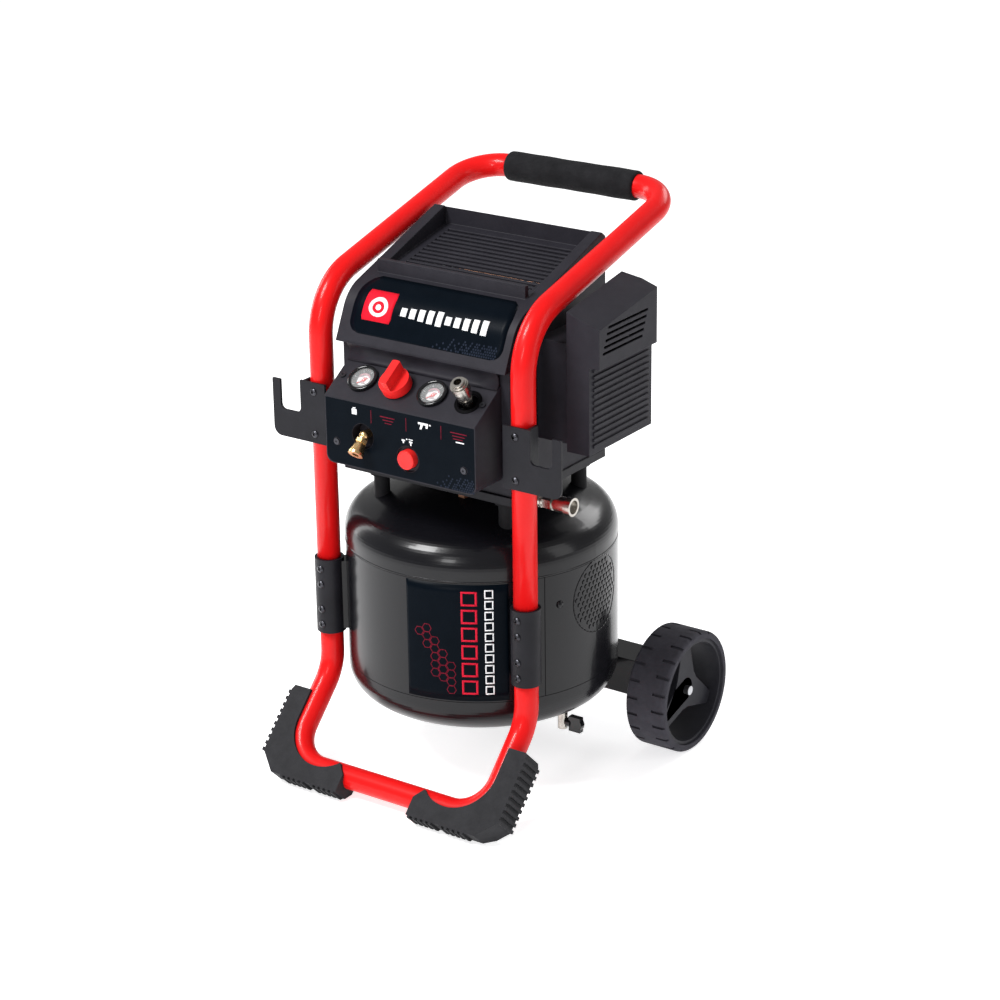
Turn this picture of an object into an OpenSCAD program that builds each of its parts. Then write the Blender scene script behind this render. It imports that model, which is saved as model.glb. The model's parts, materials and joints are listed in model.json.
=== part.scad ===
// Upright portable air compressor: a domed air tank carried in a bent tube frame with two
// wheels, and a twin-cylinder pump unit with a control box standing on top of the tank.
// X runs to the right, -Y to the front, Z up. The origin is on the floor under the tank's axis.

/* [Tank] */
// Outside diameter of the air tank
tank_d = 346; // [300:1:400]
// Height of the rolled wall between the two weld seams
tank_wall_h = 160; // [120:1:220]
// Thickness of the tank's steel
tank_t = 2.5; // [2:0.1:4]
// Straight skirt of each head, beyond the seam
head_skirt = 10; // [5:1:20]
// Height of each domed head above its skirt
head_h = 68; // [55:1:90]
// Knuckle radius of the heads
head_knuckle = 38; // [25:1:50]
// Floor clearance under the tank
tank_clear = 61; // [45:1:100]

/* [Frame] */
// Diameter of the frame tube
tube_d = 30; // [25:0.5:34]
// Wall of the frame tube
tube_t = 2; // [1.5:0.1:3]
// Distance between the two uprights, centre to centre
frame_w = 301; // [290:1:340]
// Distance from the tank's axis forward to the uprights
frame_y = 122; // [115:1:140]
// Height where the upper and the lower tube meet, inside the sleeves
joint_z = 222; // [200:1:240]
// Height where the upright's line meets the handle's slope
shoulder_z = 624; // [600:1:680]
// Slope of the upper tubes above level
handle_slope = 14.7; // [10:0.1:25]
// Depth from the uprights back to the handle bar
handle_reach = 336; // [300:1:380]
// Bend radius at the shoulders
shoulder_r = 78; // [60:1:100]
// Bend radius at the handle's corners
handle_corner_r = 53; // [45:1:70]
// Height where the upright's line meets the front leg
leg_z = 120; // [110:1:140]
// Slope of the front legs below level
leg_slope = 45.5; // [40:0.5:55]
// Bend radius at the top of the front legs
leg_r = 60; // [45:1:80]
// Height of the ground bar's centre
bar_z = 25; // [22:1:32]
// Bend radius at the ground bar's corners
bar_corner_r = 50; // [40:1:60]

/* [Grip and feet] */
// Length of the foam grip
grip_l = 194; // [150:1:195]
// Outside diameter of the foam grip
grip_d = 39; // [36:0.5:46]
// Rubber beyond the tube's centre line on the outside of each foot
foot_out = 31; // [24:0.5:36]
// Thickness of each foot across the leg
foot_t = 37; // [34:0.5:46]
// How far up the leg each foot reaches from the ground bar
foot_up = 90; // [70:1:95]
// How far each foot reaches inward along the bar from the upright's line
foot_in = 96; // [80:1:120]
// Height of the tread ribs
rib_h = 3; // [1.5:0.5:4]

/* [Sleeves and hooks] */
// Length of each joint sleeve
sleeve_l = 100; // [90:1:120]
// Sheet thickness of the sleeves and hooks
sheet_t = 3.5; // [2.5:0.5:4]
// Height of the bottom edge of the hook plates
hook_z = 429; // [420:1:440]
// Height of the hook plates
hook_h = 79; // [70:1:90]
// Reach of the hook plates outward from the tube's centre
hook_reach = 65; // [55:1:75]
// Width of the slot that takes a hose or a cord
hook_slot = 31; // [20:1:34]
// Depth of that slot
hook_slot_h = 43; // [30:1:50]
// Diameter of the frame screws
screw_d = 5; // [4:0.5:6]

/* [Wheels] */
// Wheel diameter over the tread
wheel_d = 160; // [140:1:180]
// Tyre width
tyre_w = 57; // [45:1:65]
// Tyre thickness
tyre_t = 9.5; // [7:0.5:14]
// Distance between the outer faces of the wheels
wheel_track = 474; // [460:1:500]
// Distance of the axle behind the tank's axis
axle_y = 136; // [128:1:145]
// Axle diameter
axle_d = 12; // [10:0.5:12]

/* [Pump housing and cover] */
// Width of the top cover
cover_w = 252; // [244:1:256]
// Height of the cover's lower edge
cover_z = 563; // [555:1:575]
// Height of the cover's top line over the tank's axis
cover_top = 656.5; // [650:0.5:670]
// Slope of the cover's top line
cover_slope = 19.5; // [15:0.5:22]
// Lean of the cover's front above level
cover_lean = 65; // [60:1:75]
// Bend radius of the cover's front edge
cover_r = 50; // [30:1:70]
// Distance of the cover's lower front edge ahead of the tank's axis
cover_front = 125; // [118:1:130]
// Distance of the cover's back behind the tank's axis
cover_back = 94; // [85:1:105]
// Wall thickness of the plastic covers
shell_t = 3; // [2:0.5:4]
// Width of the tray in the cover
tray_w = 220; // [180:1:224]
// Number of vent slots in the tray
tray_slots = 12; // [6:1:13]
// Width of one vent slot
slot_w = 4.5; // [3:0.5:6]

/* [Side shroud] */
// Twice the reach of the shroud's upper part from the middle of the machine
shroud_w = 448; // [436:1:466]
// Set-back of the lower part of the shroud's side
shroud_step = 14; // [8:1:24]
// Height of the bottom of the shroud
shroud_z = 462; // [455:1:470]
// Height of the step between upper and lower part
shroud_step_z = 572; // [560:1:590]
// Height of the top at the front edge
shroud_top = 636; // [630:1:650]
// Slope of the shroud's top
shroud_slope = 9.4; // [5:0.1:12]
// Depth of the shroud, front to back
shroud_d = 139; // [130:1:150]
// Number of louvres in the upper part
louvres = 5; // [3:1:6]

/* [Control box] */
// Width of the control box
box_w = 224; // [216:1:232]
// Distance of the control box's face ahead of the tank's axis
box_front = 167; // [160:1:175]
// Height of the bottom of the control box
box_z = 422; // [415:1:430]
// Height of the control box's face
box_h = 86; // [80:1:95]
// Distance of the ledge's back edge ahead of the tank's axis
ledge_back = 112; // [108:1:118]
// Height of the ledge's back edge
ledge_z = 544.5; // [538:0.5:552]
// Spacing of the gauges and the knob
gauge_step = 52; // [48:1:54]
// Outside diameter of a gauge bezel
gauge_d = 39; // [34:0.5:42]
// Diameter of the regulator knob
knob_d = 39; // [32:0.5:42]
// Diameter of the power button
button_d = 24; // [18:0.5:27]
// Travel of the power button
button_travel = 4; // [2:0.5:6]
// Diameter of the coupler's sliding sleeve
coupler_d = 23; // [20:0.5:25]
// Travel of the coupler's sliding sleeve
coupler_travel = 4; // [2:0.5:5]

/* [Pump] */
// Height of the pump shaft
shaft_z = 525; // [520:1:530]
// Diameter of the pump shaft
shaft_d = 14; // [12:0.5:16]
// Distance from the middle to each cylinder's axis
cylinder_x = 82; // [86:1:92]
// Bore of the cylinders
bore_d = 60; // [50:0.5:62]
// Throw of each eccentric
throw = 5; // [4:0.5:6]
// Diameter of the motor housing
motor_d = 110; // [100:1:114]
// Diameter of the cooling fan
fan_d = 104; // [90:1:112]

/* [Fits] */
// Radial clearance of a running fit
run_fit = 0.05; // [0.02:0.01:0.1]
// Clearance between parts that are set together
set_gap = 0.2; // [0.1:0.05:0.4]
// Clearance around parts that move past each other
move_gap = 0.5; // [0.4:0.1:1]

/* [Hidden] */
$fn = 64;
big = 1000;

// Tank levels, from the floor up
seam_low = tank_clear + head_h + head_skirt;
seam_high = seam_low + tank_wall_h;
tank_r = tank_d / 2;
// Crown radius of a head whose knuckle meets it smoothly
function crown(r, h, k) = ((r - k) * (r - k) + h * h - k * k) / (2 * (h - k));
// Height of the top head's outside at a distance r from the axis, within its crown
function dome_z(r) = seam_high + head_skirt + head_h - crown(tank_r, head_h, head_knuckle)
    + sqrt(pow(crown(tank_r, head_h, head_knuckle), 2) - r * r);
function low_dome_z(r) = seam_low + seam_high - dome_z(r);

// Frame: the slope's direction and the places where its bends begin
half_w = frame_w / 2;
tube_r = tube_d / 2;
shoulder_turn = 90 - handle_slope;
shoulder_t = shoulder_r * tan(shoulder_turn / 2);
slope_l = handle_reach / cos(handle_slope);
leg_turn = 90 - leg_slope;
leg_t = leg_r * tan(leg_turn / 2);
leg_l = (leg_z - bar_z) / sin(leg_slope);
joint_gap = 1;
// A straight stretch is this much wider than its bends and runs this far into them
lap_w = 0.4;
lap_l = 1;
handle_y = handle_reach - frame_y;
handle_z = shoulder_z + handle_reach * tan(handle_slope);

// Middle of the whole object between the feet's front edge and the grip's back
foot_low = leg_l + foot_out - 4;
front_end = frame_y + (foot_low + rib_h) * cos(leg_slope) + foot_t / 2 * sin(leg_slope);
back_end = handle_y + grip_d / 2;
mid_y = (back_end - front_end) / 2;

sleeve_r = tube_r + sheet_t + set_gap;
sleeve_z = joint_z - sleeve_l / 2;
screw_steps = [-38, -17, 17, 38];
hook_screw_in = 12;
hook_y = -frame_y - tube_r - set_gap;

wheel_r = wheel_d / 2;
wheel_in = wheel_track / 2 - tyre_w;
hub_d = 38;
nut_h = 8;

// Tray floor and top line of the cover, as heights over the tank's axis
tray_front = 50;
tray_back = cover_back - 6;
tray_drop = 12.5;
tray_slope = 12.5;
lip_h = 14;
lip_t = 7;
function cover_line(y) = cover_top + y * tan(cover_slope);
function tray_line(y) = cover_top - tray_drop + y * tan(tray_slope);

// Control box: the ledge's slope and the middle of it
ledge_drop = ledge_z - box_z - box_h;
ledge_run = box_front - ledge_back;
ledge_a = atan2(ledge_drop, ledge_run);
ledge_mid_y = -(box_front + ledge_back) / 2;
ledge_mid_z = ledge_z - ledge_drop / 2;
gauge_x = [-1.4 * gauge_step, 0.6 * gauge_step];
knob_x = -0.4 * gauge_step;
coupler_x = 1.6 * gauge_step;
button_x = 12.5;
button_z = box_z + 27;
outlet_x = -55;
outlet_z = box_z + 43;
outlet_hole = 32;
outlet_stem = 11;
cup_depth = 16;
button_ring = 33;
ring_depth = 3;
switch_y = -box_front + 30;
switch_half = 12;
switch_low = button_z - 20;
face_screw_x = 95;
face_screw_z = box_z + 29;

gauge_h = 24;
manifold_z = -22;
bezel_h = 4;
dial_z = 0.6;
needle_t = 0.8;
stem_d = 8;
coupler_stem = 14;

mount_x = 95;
mount_y = 80;
pan_z = 394;
pan_h = 11;
pan_w = cover_w;
pan_front = 115;
pan_back = cover_back;
housing_front = ledge_back - set_gap;
crank_r = 50;
motor_half = 44;
pump_face = cylinder_x + 36;
cylinder_z = shaft_z + 42;
cylinder_h = 38;
head_fin_h = 22;
head_w = 72;
ecc_r = 10;
ring_r = ecc_r + 2 * throw + 1;
fan_x = 152;
fan_t = 18;
pipe_d = 10;
pipe_y = 74;
feed_x = 20;
feed_y = -62;
feed_z = 500;
relief_y = -82;
relief_z = pan_z + pan_h / 2 - 2;
drain_x = 122;
drain_z = low_dome_z(drain_x);
neck_in = cover_w / 2 + set_gap;
shroud_in = half_w + tube_r + 12.5;
neck_half = 58;
neck_low = 466;
neck_high = 592;
shroud_mid_y = -2.5;
gland_x = 60;
gland_z = pan_z + pan_h + set_gap + 22;

// ---- shared shapes ----

// The whole is drawn around the tank's axis and moved so that its middle stands over the origin
module place() { translate([0, -mid_y, 0]) children(); }
module mirrored(side) {
    flip = side < 0 ? 1 : 0;
    mirror([flip, 0, 0]) children();
}
module along_x(d, l) {
    rotate([0, 90, 0]) cylinder(d = d, h = l, center = true);
}
module tube_ring(outer, inner, h) {
    difference() {
        cylinder(d = outer, h = h);
        translate([0, 0, -1]) cylinder(d = inner, h = h + 2);
    }
}
module straight(d, z0, z1) {
    translate([0, 0, z0]) cylinder(d = d + lap_w, h = z1 - z0, $fn = 48);
}
module bend(r, d, angle) {
    rotate_extrude(angle = angle, $fn = 64) translate([r, 0]) circle(d = d, $fn = 48);
}
// ---- frame ----

module upper_half(d) {
    translate([half_w, -frame_y, 0]) {
        straight(d, joint_z + joint_gap / 2, shoulder_z - shoulder_t + lap_l);
        translate([0, shoulder_r, shoulder_z - shoulder_t])
            rotate([90, 0, -90]) bend(shoulder_r, d, shoulder_turn);
        translate([0, 0, shoulder_z]) rotate([handle_slope - 90, 0, 0]) {
            straight(d, shoulder_t - lap_l, slope_l - handle_corner_r + lap_l);
            translate([-handle_corner_r, 0, slope_l - handle_corner_r])
                rotate([90, 0, 0]) bend(handle_corner_r, d, 90);
        }
    }
}
module upper_path(d) {
    for (side = [-1, 1]) mirrored(side) upper_half(d);
    translate([0, handle_y, handle_z]) along_x(d + lap_w, 2 * (half_w - handle_corner_r + lap_l), $fn = 48);
}
module upper_frame() {
    color("red") difference() {
        upper_path(tube_d);
        upper_path(tube_d - 2 * tube_t);
        frame_holes();
    }
}

module lower_half(d) {
    translate([half_w, -frame_y, 0]) {
        straight(d, leg_z + leg_t - lap_l, joint_z - joint_gap / 2);
        translate([0, -leg_r, leg_z + leg_t]) rotate([-90, 0, 90]) bend(leg_r, d, leg_turn);
        leg_frame() {
            straight(d, leg_t - lap_l, leg_l - bar_corner_r + lap_l);
            translate([-bar_corner_r, 0, leg_l - bar_corner_r])
                rotate([90, 0, 0]) bend(bar_corner_r, d, 90);
        }
    }
}
// Local frame of a front leg: Z runs down the leg from the bend's corner
module leg_frame() { translate([0, 0, leg_z]) rotate([90 + leg_slope, 0, 0]) children(); }
module lower_path(d) {
    for (side = [-1, 1]) mirrored(side) lower_half(d);
    translate([0, -frame_y, 0]) leg_frame()
        translate([0, 0, leg_l]) along_x(d + lap_w, 2 * (half_w - bar_corner_r + lap_l), $fn = 48);
}
module lower_frame() {
    color("red") difference() {
        lower_path(tube_d);
        lower_path(tube_d - 2 * tube_t);
        frame_holes();
    }
}
// Screw holes through the front wall of the tubes, the sleeves and the hook plates
module frame_holes() {
    for (side = [-1, 1], z = concat(screw_steps + [joint_z, joint_z, joint_z, joint_z],
            [hook_z + hook_screw_in, hook_z + hook_h - hook_screw_in]))
        translate([side * half_w, -frame_y, z]) rotate([90, 0, 0])
            cylinder(d = screw_d + 2 * set_gap, h = 2 * tube_d, $fn = 24);
}
module frame_screw(y, z, side) {
    translate([side * half_w, y, z]) rotate([90, 0, 0]) {
        translate([0, 0, -12]) cylinder(d = screw_d, h = 12, $fn = 24);
        difference() {
            rotate_extrude($fn = 32) intersection() {
                translate([0, -2.9]) circle(r = 6, $fn = 48);
                square([4.6, 3]);
            }
            translate([0, 0, 1.4]) cylinder(d = 3.4, h = 3, $fn = 6);
        }
    }
}
module frame_screws() {
    color("dimgray") for (side = [-1, 1]) {
        for (step = screw_steps) frame_screw(-frame_y - sleeve_r, joint_z + step, side);
        for (z = [hook_screw_in, hook_h - hook_screw_in])
            frame_screw(hook_y - sheet_t, hook_z + z, side);
    }
}
module handle_grip() {
    end_r = 4;
    half = grip_l / 2;
    outer = grip_d / 2;
    inner = tube_r + (lap_w + set_gap) / 2;
    color("black") translate([0, handle_y, handle_z]) rotate([0, 90, 0])
        rotate_extrude() difference() {
            union() {
                translate([inner, -half + end_r]) square([outer - inner, grip_l - 2 * end_r]);
                translate([inner, -half]) square([outer - inner - end_r, grip_l]);
                for (s = [-1, 1]) translate([outer - end_r, s * (half - end_r)]) circle(end_r, $fn = 32);
            }
            translate([-1, -half - 1]) square([inner + 1, grip_l + 2]);
        }
}
// A split sheet clamp around the joint of the two tubes
module sleeve(side) {
    color("black") difference() {
        translate([side * half_w, -frame_y, sleeve_z])
            tube_ring(2 * sleeve_r, tube_d + 2 * set_gap, sleeve_l);
        frame_holes();
    }
}
// The welded web between a sleeve and the tank
module tank_bracket(side) {
    reach = sqrt(half_w * half_w + frame_y * frame_y);
    web_w = 22;
    inset = 4;
    color("black") difference() {
        mirrored(side) rotate([0, 0, -atan2(frame_y, half_w)])
            translate([tank_r - 8, -web_w / 2, sleeve_z + inset])
                cube([reach - tank_r + 8, web_w, sleeve_l - 2 * inset]);
        cylinder(r = tank_r, h = big, $fn = 360);
        translate([side * half_w, -frame_y, 0]) cylinder(r = sleeve_r, h = big, $fn = 180);
    }
}
// Hook plate: a flat plate over the tube with an upturned hook beyond it
module hook_outline() {
    inner = -17.5;
    upright_w = 12.5;
    corner = 12;
    slot_x = hook_reach - upright_w - hook_slot;
    slot_low = hook_h - hook_slot_h;
    slot_r = 7;
    difference() {
        translate([inner, 0]) square([hook_reach - inner, hook_h]);
        translate([slot_x, slot_low + slot_r]) square([hook_slot, hook_slot_h]);
        translate([slot_x + slot_r, slot_low]) square([hook_slot - 2 * slot_r, hook_slot_h]);
        for (x = [slot_x + slot_r, slot_x + hook_slot - slot_r]) translate([x, slot_low + slot_r])
            circle(slot_r, $fn = 64);
        translate([hook_reach - upright_w - 1, hook_h - 4.5]) square([upright_w + 2, 5]);
        difference() {
            translate([hook_reach - corner, -1]) square([corner + 1, corner + 1]);
            translate([hook_reach - corner, corner]) circle(corner, $fn = 48);
        }
    }
}
module hook(side) {
    flange_d = 18;
    color("black") difference() {
        translate([side * half_w, hook_y, hook_z]) mirrored(side) {
            rotate([90, 0, 0]) linear_extrude(sheet_t) hook_outline();
            translate([tube_r + set_gap, 0, 0]) cube([sheet_t, flange_d, hook_h]);
        }
        frame_holes();
    }
}
// Rubber corner foot: an elbow in the leg's plane that wraps the outside of the bend
module foot_outline() {
    chamfer = 24;
    start = leg_l - foot_up;
    cover = 3;
    difference() {
        polygon([[cover, start], [foot_out - 3, start], [foot_out, start + 6],
            [foot_out, foot_low - chamfer], [foot_out - chamfer, foot_low], [-foot_in, foot_low],
            [-foot_in, leg_l + cover], [-bar_corner_r, leg_l - bar_corner_r],
            [cover, leg_l - bar_corner_r]]);
        translate([-bar_corner_r, leg_l - bar_corner_r]) circle(bar_corner_r + cover);
    }
}
module foot_ribs() {
    start = leg_l - foot_up;
    pitch = 9;
    rib_w = 4.5;
    for (i = [0 : 9]) translate([foot_out - 1, -foot_t / 2, start + 8 + i * pitch])
        cube([rib_h + 1, foot_t, rib_w]);
    for (g = [0, 1], i = [0 : 4])
        translate([-foot_in + 3 + g * 48 + i * 8, -foot_t / 2, foot_low - 1])
            cube([rib_w - 0.5, foot_t, rib_h + 1]);
}
module foot(side) {
    color("dimgray") difference() {
        mirrored(side) translate([half_w, -frame_y, 0]) leg_frame() {
            rotate([90, 0, 0]) linear_extrude(foot_t, center = true) foot_outline();
            foot_ribs();
        }
        lower_path(tube_d + set_gap);
        translate([-big / 2, -big, -big]) cube([big, big, big]);
    }
}

// ---- tank ----

// Half outline of a solid head, from the seam's level up
module head_outline(r, h, k) {
    c = crown(r, h, k);
    split = atan2(r - k, c - h);
    knuckle = [for (i = [0 : 12]) let(a = i * (90 - split) / 12)
        [r - k + k * cos(a), head_skirt + k * sin(a)]];
    dome = [for (i = [1 : 14]) let(a = split * (1 - i / 14)) [c * sin(a), head_skirt + h - c + c * cos(a)]];
    polygon(concat([[0, 0], [r, 0]], knuckle, dome));
}
module solid_head() { rotate_extrude($fn = 128) head_outline(tank_r, head_h, head_knuckle); }
module head_shell() {
    difference() {
        solid_head();
        translate([0, 0, -0.01]) rotate_extrude($fn = 128)
            head_outline(tank_r - tank_t, head_h - tank_t, head_knuckle - tank_t);
    }
}
module tank_outside() {
    translate([0, 0, seam_low]) cylinder(r = tank_r, h = tank_wall_h, $fn = 128);
    translate([0, 0, seam_high]) solid_head();
    translate([0, 0, seam_low]) mirror([0, 0, 1]) solid_head();
}
module tank_wall() {
    color("black") translate([0, 0, seam_low])
        tube_ring(tank_d, tank_d - 2 * tank_t, tank_wall_h, $fn = 128);
}
module tank_head_top() {
    port_d = 14;
    color("black") difference() {
        translate([0, 0, seam_high]) head_shell();
        translate([0, pipe_y, seam_high]) cylinder(d = port_d, h = big, $fn = 32);
        translate([feed_x, feed_y, seam_high]) cylinder(d = 9, h = big, $fn = 32);
    }
}
module tank_head_bottom() {
    color("black") difference() {
        translate([0, 0, seam_low]) mirror([0, 0, 1]) head_shell();
        translate([drain_x, 0, 0]) cylinder(d = 8, h = seam_low, $fn = 32);
    }
}
// Condensate drain: a threaded neck, a nickel body and a cross pin for the knob
module drain_valve() {
    neck = 8;
    body_h = 20;
    color("silver") union() {
        translate([drain_x, 0, drain_z - neck]) cylinder(d = 8 - 2 * set_gap, h = neck + 14, $fn = 32);
        difference() {
            translate([drain_x, 0, drain_z - neck]) cylinder(d = 15, h = neck + 4, $fn = 6);
            tank_outside();
        }
        translate([drain_x, 0, drain_z - neck - body_h]) cylinder(d = 13, h = body_h, $fn = 32);
        translate([drain_x + 3, 0, drain_z - neck - body_h / 2]) rotate([0, 90, 0])
            cylinder(d = 5, h = 19, $fn = 32);
    }
}
module drain_knob() {
    neck = 8;
    body_h = 20;
    color("black") translate([drain_x + 7.5, 0, drain_z - neck - body_h / 2]) difference() {
        union() {
            rotate([0, 90, 0]) cylinder(d = 12, h = 6, $fn = 48);
            translate([4, -4, -10]) cube([17, 8, 20]);
            translate([13, 0, 0]) rotate([90, 0, 0]) cylinder(d = 20, h = 8, center = true, $fn = 48);
        }
        translate([-1, 0, 0]) rotate([0, 90, 0]) cylinder(d = 5 + 2 * run_fit, h = 17, $fn = 32);
    }
}

// ---- wheels ----

axle_z = wheel_r;
bracket_w = 50;
bracket_drop = 16;
bracket_rise = 34;
bracket_end = wheel_in - 4;
module axle_bracket() {
    t = 3;
    color("black") difference() {
        translate([-bracket_end, axle_y - bracket_w / 2, axle_z - bracket_drop])
            cube([2 * bracket_end, bracket_w, bracket_drop + bracket_rise]);
        translate([-bracket_end + t, axle_y - bracket_w / 2 + t, axle_z - bracket_drop - 1])
            cube([2 * (bracket_end - t), bracket_w - 2 * t, bracket_drop + bracket_rise + 1 - t]);
        tank_outside();
        translate([0, axle_y, axle_z]) along_x(axle_d + 2 * set_gap, 2 * bracket_end + 2);
    }
}
module axle() {
    color("silver") translate([0, axle_y, axle_z]) along_x(axle_d, wheel_track - 16);
}
hub_out = 26;
module axle_nuts() {
    washer_d = 26;
    color("silver") for (side = [-1, 1]) mirrored(side)
        translate([wheel_track / 2 - hub_out + move_gap, axle_y, axle_z]) rotate([0, 90, 0]) difference() {
            union() {
                cylinder(d = washer_d, h = 2, $fn = 48);
                cylinder(d = 21, h = 2 + nut_h, $fn = 6);
            }
            translate([0, 0, -1]) cylinder(d = axle_d, h = nut_h + 4, $fn = 48);
        }
}
module rim(side) {
    barrel_t = 5;
    plate_t = 9;
    plate_in = 15;
    rim_r = wheel_r - tyre_t;
    color("dimgray") mirrored(side) translate([wheel_in, axle_y, axle_z]) rotate([0, 90, 0]) difference() {
        union() {
            translate([0, 0, 3]) tube_ring(2 * rim_r, 2 * (rim_r - barrel_t), tyre_w - 6);
            cylinder(d = hub_d, h = tyre_w - plate_in);
            translate([0, 0, tyre_w - plate_in - plate_t]) linear_extrude(plate_t)
                star(rim_r - barrel_t / 2);
        }
        translate([0, 0, -1]) cylinder(d = axle_d + 2 * run_fit, h = tyre_w + 2, $fn = 64);
        translate([0, 0, tyre_w - hub_out]) cylinder(d = 30, h = hub_out, $fn = 48);
    }
}
// Three tapering arms
module star(reach) {
    circle(27);
    for (a = [180, 60, 300]) rotate(a) polygon([[0, -25], [reach, -8], [reach, 8], [0, 25]]);
}
module tyre(side) {
    edge_r = 5;
    blocks = 22;
    groove_w = 4;
    groove_h = 3;
    rim_r = wheel_r - tyre_t;
    color("black") mirrored(side) translate([wheel_in, axle_y, axle_z]) rotate([0, 90, 0]) difference() {
        rotate_extrude($fn = 96) difference() {
            union() {
                translate([rim_r, 0]) square([tyre_t - edge_r, tyre_w]);
                translate([rim_r, edge_r]) square([tyre_t, tyre_w - 2 * edge_r]);
                for (z = [edge_r, tyre_w - edge_r]) translate([wheel_r - edge_r, z])
                    circle(edge_r, $fn = 32);
            }
            translate([0, -1]) square([rim_r, tyre_w + 2]);
        }
        for (i = [0 : blocks - 1], half = [0, 1]) rotate((i + half / 2) * 360 / blocks)
            translate([wheel_r - groove_h, -groove_w / 2, half * (tyre_w - 17) - 1])
                cube([groove_h + 1, groove_w, 19]);
    }
}

// ---- pump unit ----

module rubber_mounts() {
    foot_z = dome_z(sqrt(mount_x * mount_x + mount_y * mount_y));
    color("black") for (x = [-1, 1], y = [-1, 1]) difference() {
        translate([x * mount_x, y * mount_y, 0]) {
            translate([0, 0, foot_z - 6]) cylinder(d = 20, h = pan_z - foot_z + 6, $fn = 48);
            translate([0, 0, pan_z - 12]) cylinder(d = 29, h = 12, $fn = 48);
        }
        tank_outside();
    }
}
module base_pan() {
    t = shell_t;
    cradle_x = 34;
    cradle_w = 16;
    cradle_depth = 72;
    color("dimgray") difference() {
        union() {
            difference() {
                translate([-pan_w / 2, -pan_front, pan_z]) cube([pan_w, pan_front + pan_back, pan_h]);
                translate([-pan_w / 2 + t, -pan_front + t, pan_z + t])
                    cube([pan_w - 2 * t, pan_front + pan_back - 2 * t, pan_h]);
            }
            for (x = [-1, 1]) translate([x * cradle_x - cradle_w / 2, -cradle_depth / 2, pan_z + t / 2])
                cube([cradle_w, cradle_depth, shaft_z - pan_z - t]);
        }
        translate([0, 0, shaft_z]) along_x(motor_d + 2 * set_gap, 200, $fn = 96);
        translate([0, pipe_y, pan_z - 1]) cylinder(d = pipe_d + 8, h = pan_h + 2, $fn = 48);
        translate([feed_x, feed_y, pan_z - 1]) cylinder(d = pipe_d + 2, h = pan_h + 2, $fn = 48);
    }
}
// Side opening that the neck of the shroud leads into
module neck_window() {
    translate([0, -neck_half + shell_t, neck_low + shell_t])
        cube([cover_w, 2 * (neck_half - shell_t), neck_high - neck_low - 2 * shell_t]);
}
// The lower casing around the pump, open at the right side towards the shroud
module pump_housing() {
    t = shell_t;
    low = pan_z + pan_h + set_gap;
    high = cover_z - set_gap;
    color("dimgray") difference() {
        translate([-cover_w / 2 + 2, -housing_front, low])
            cube([cover_w - 4, housing_front + cover_back - 2, high - low]);
        translate([-cover_w / 2 + 2 + t, -housing_front + t, low - 1])
            cube([cover_w - 4 - 2 * t, housing_front + cover_back - 2 - 2 * t, high - low + 2]);
        neck_window();
        translate([feed_x, -housing_front, feed_z]) rotate([90, 0, 0])
            cylinder(d = pipe_d + 2, h = 20, center = true, $fn = 32);
        translate([gland_x, cover_back - 10, gland_z]) rotate([-90, 0, 0])
            cylinder(d = 16, h = 20, $fn = 48);
    }
}
module cable_gland() {
    color("black") translate([gland_x, cover_back - 2, gland_z]) rotate([-90, 0, 0]) difference() {
        union() {
            translate([0, 0, -8]) cylinder(d = 16 - 2 * set_gap, h = 9, $fn = 48);
            translate([0, 0, set_gap]) cylinder(d = 24, h = 5, $fn = 6);
            cylinder(d = 15, h = 14, $fn = 48);
        }
        translate([0, 0, -9]) cylinder(d = 8, h = 30, $fn = 32);
    }
}
module motor_housing() {
    color("silver") translate([0, 0, shaft_z]) rotate([0, 90, 0]) translate([0, 0, -motor_half])
        tube_ring(motor_d, motor_d - 6, 2 * motor_half, $fn = 96);
}
module stator() {
    stack = 60;
    winding = 10;
    color("gray") translate([0, 0, shaft_z]) rotate([0, 90, 0]) translate([0, 0, -stack / 2]) union() {
        tube_ring(motor_d - 6 - set_gap, 64, stack, $fn = 96);
        translate([0, 0, -winding]) tube_ring(90, 70, winding, $fn = 96);
        translate([0, 0, stack]) tube_ring(90, 70, winding, $fn = 96);
    }
}
module rotor() {
    shaft_left = -pump_face - 1;
    shaft_right = fan_x + fan_t / 2 + 2;
    color("silver") translate([0, 0, shaft_z]) {
        translate([(shaft_left + shaft_right) / 2, 0, 0]) along_x(shaft_d, shaft_right - shaft_left);
        along_x(62, 66);
        for (side = [-1, 1]) translate([side * cylinder_x, 0, side * throw]) along_x(2 * ecc_r, 14);
    }
}
module fan() {
    blades = 7;
    color("black") translate([fan_x, 0, shaft_z]) rotate([0, 90, 0]) difference() {
        union() {
            cylinder(d = 32, h = fan_t, center = true);
            for (i = [0 : blades - 1]) rotate(i * 360 / blades) translate([13, 0, 0]) rotate([32, 0, 0])
                translate([0, -1, -fan_t / 2]) cube([fan_d / 2 - 15, 2, fan_t]);
        }
        cylinder(d = shaft_d, h = fan_t + 2, center = true);
    }
}
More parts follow.
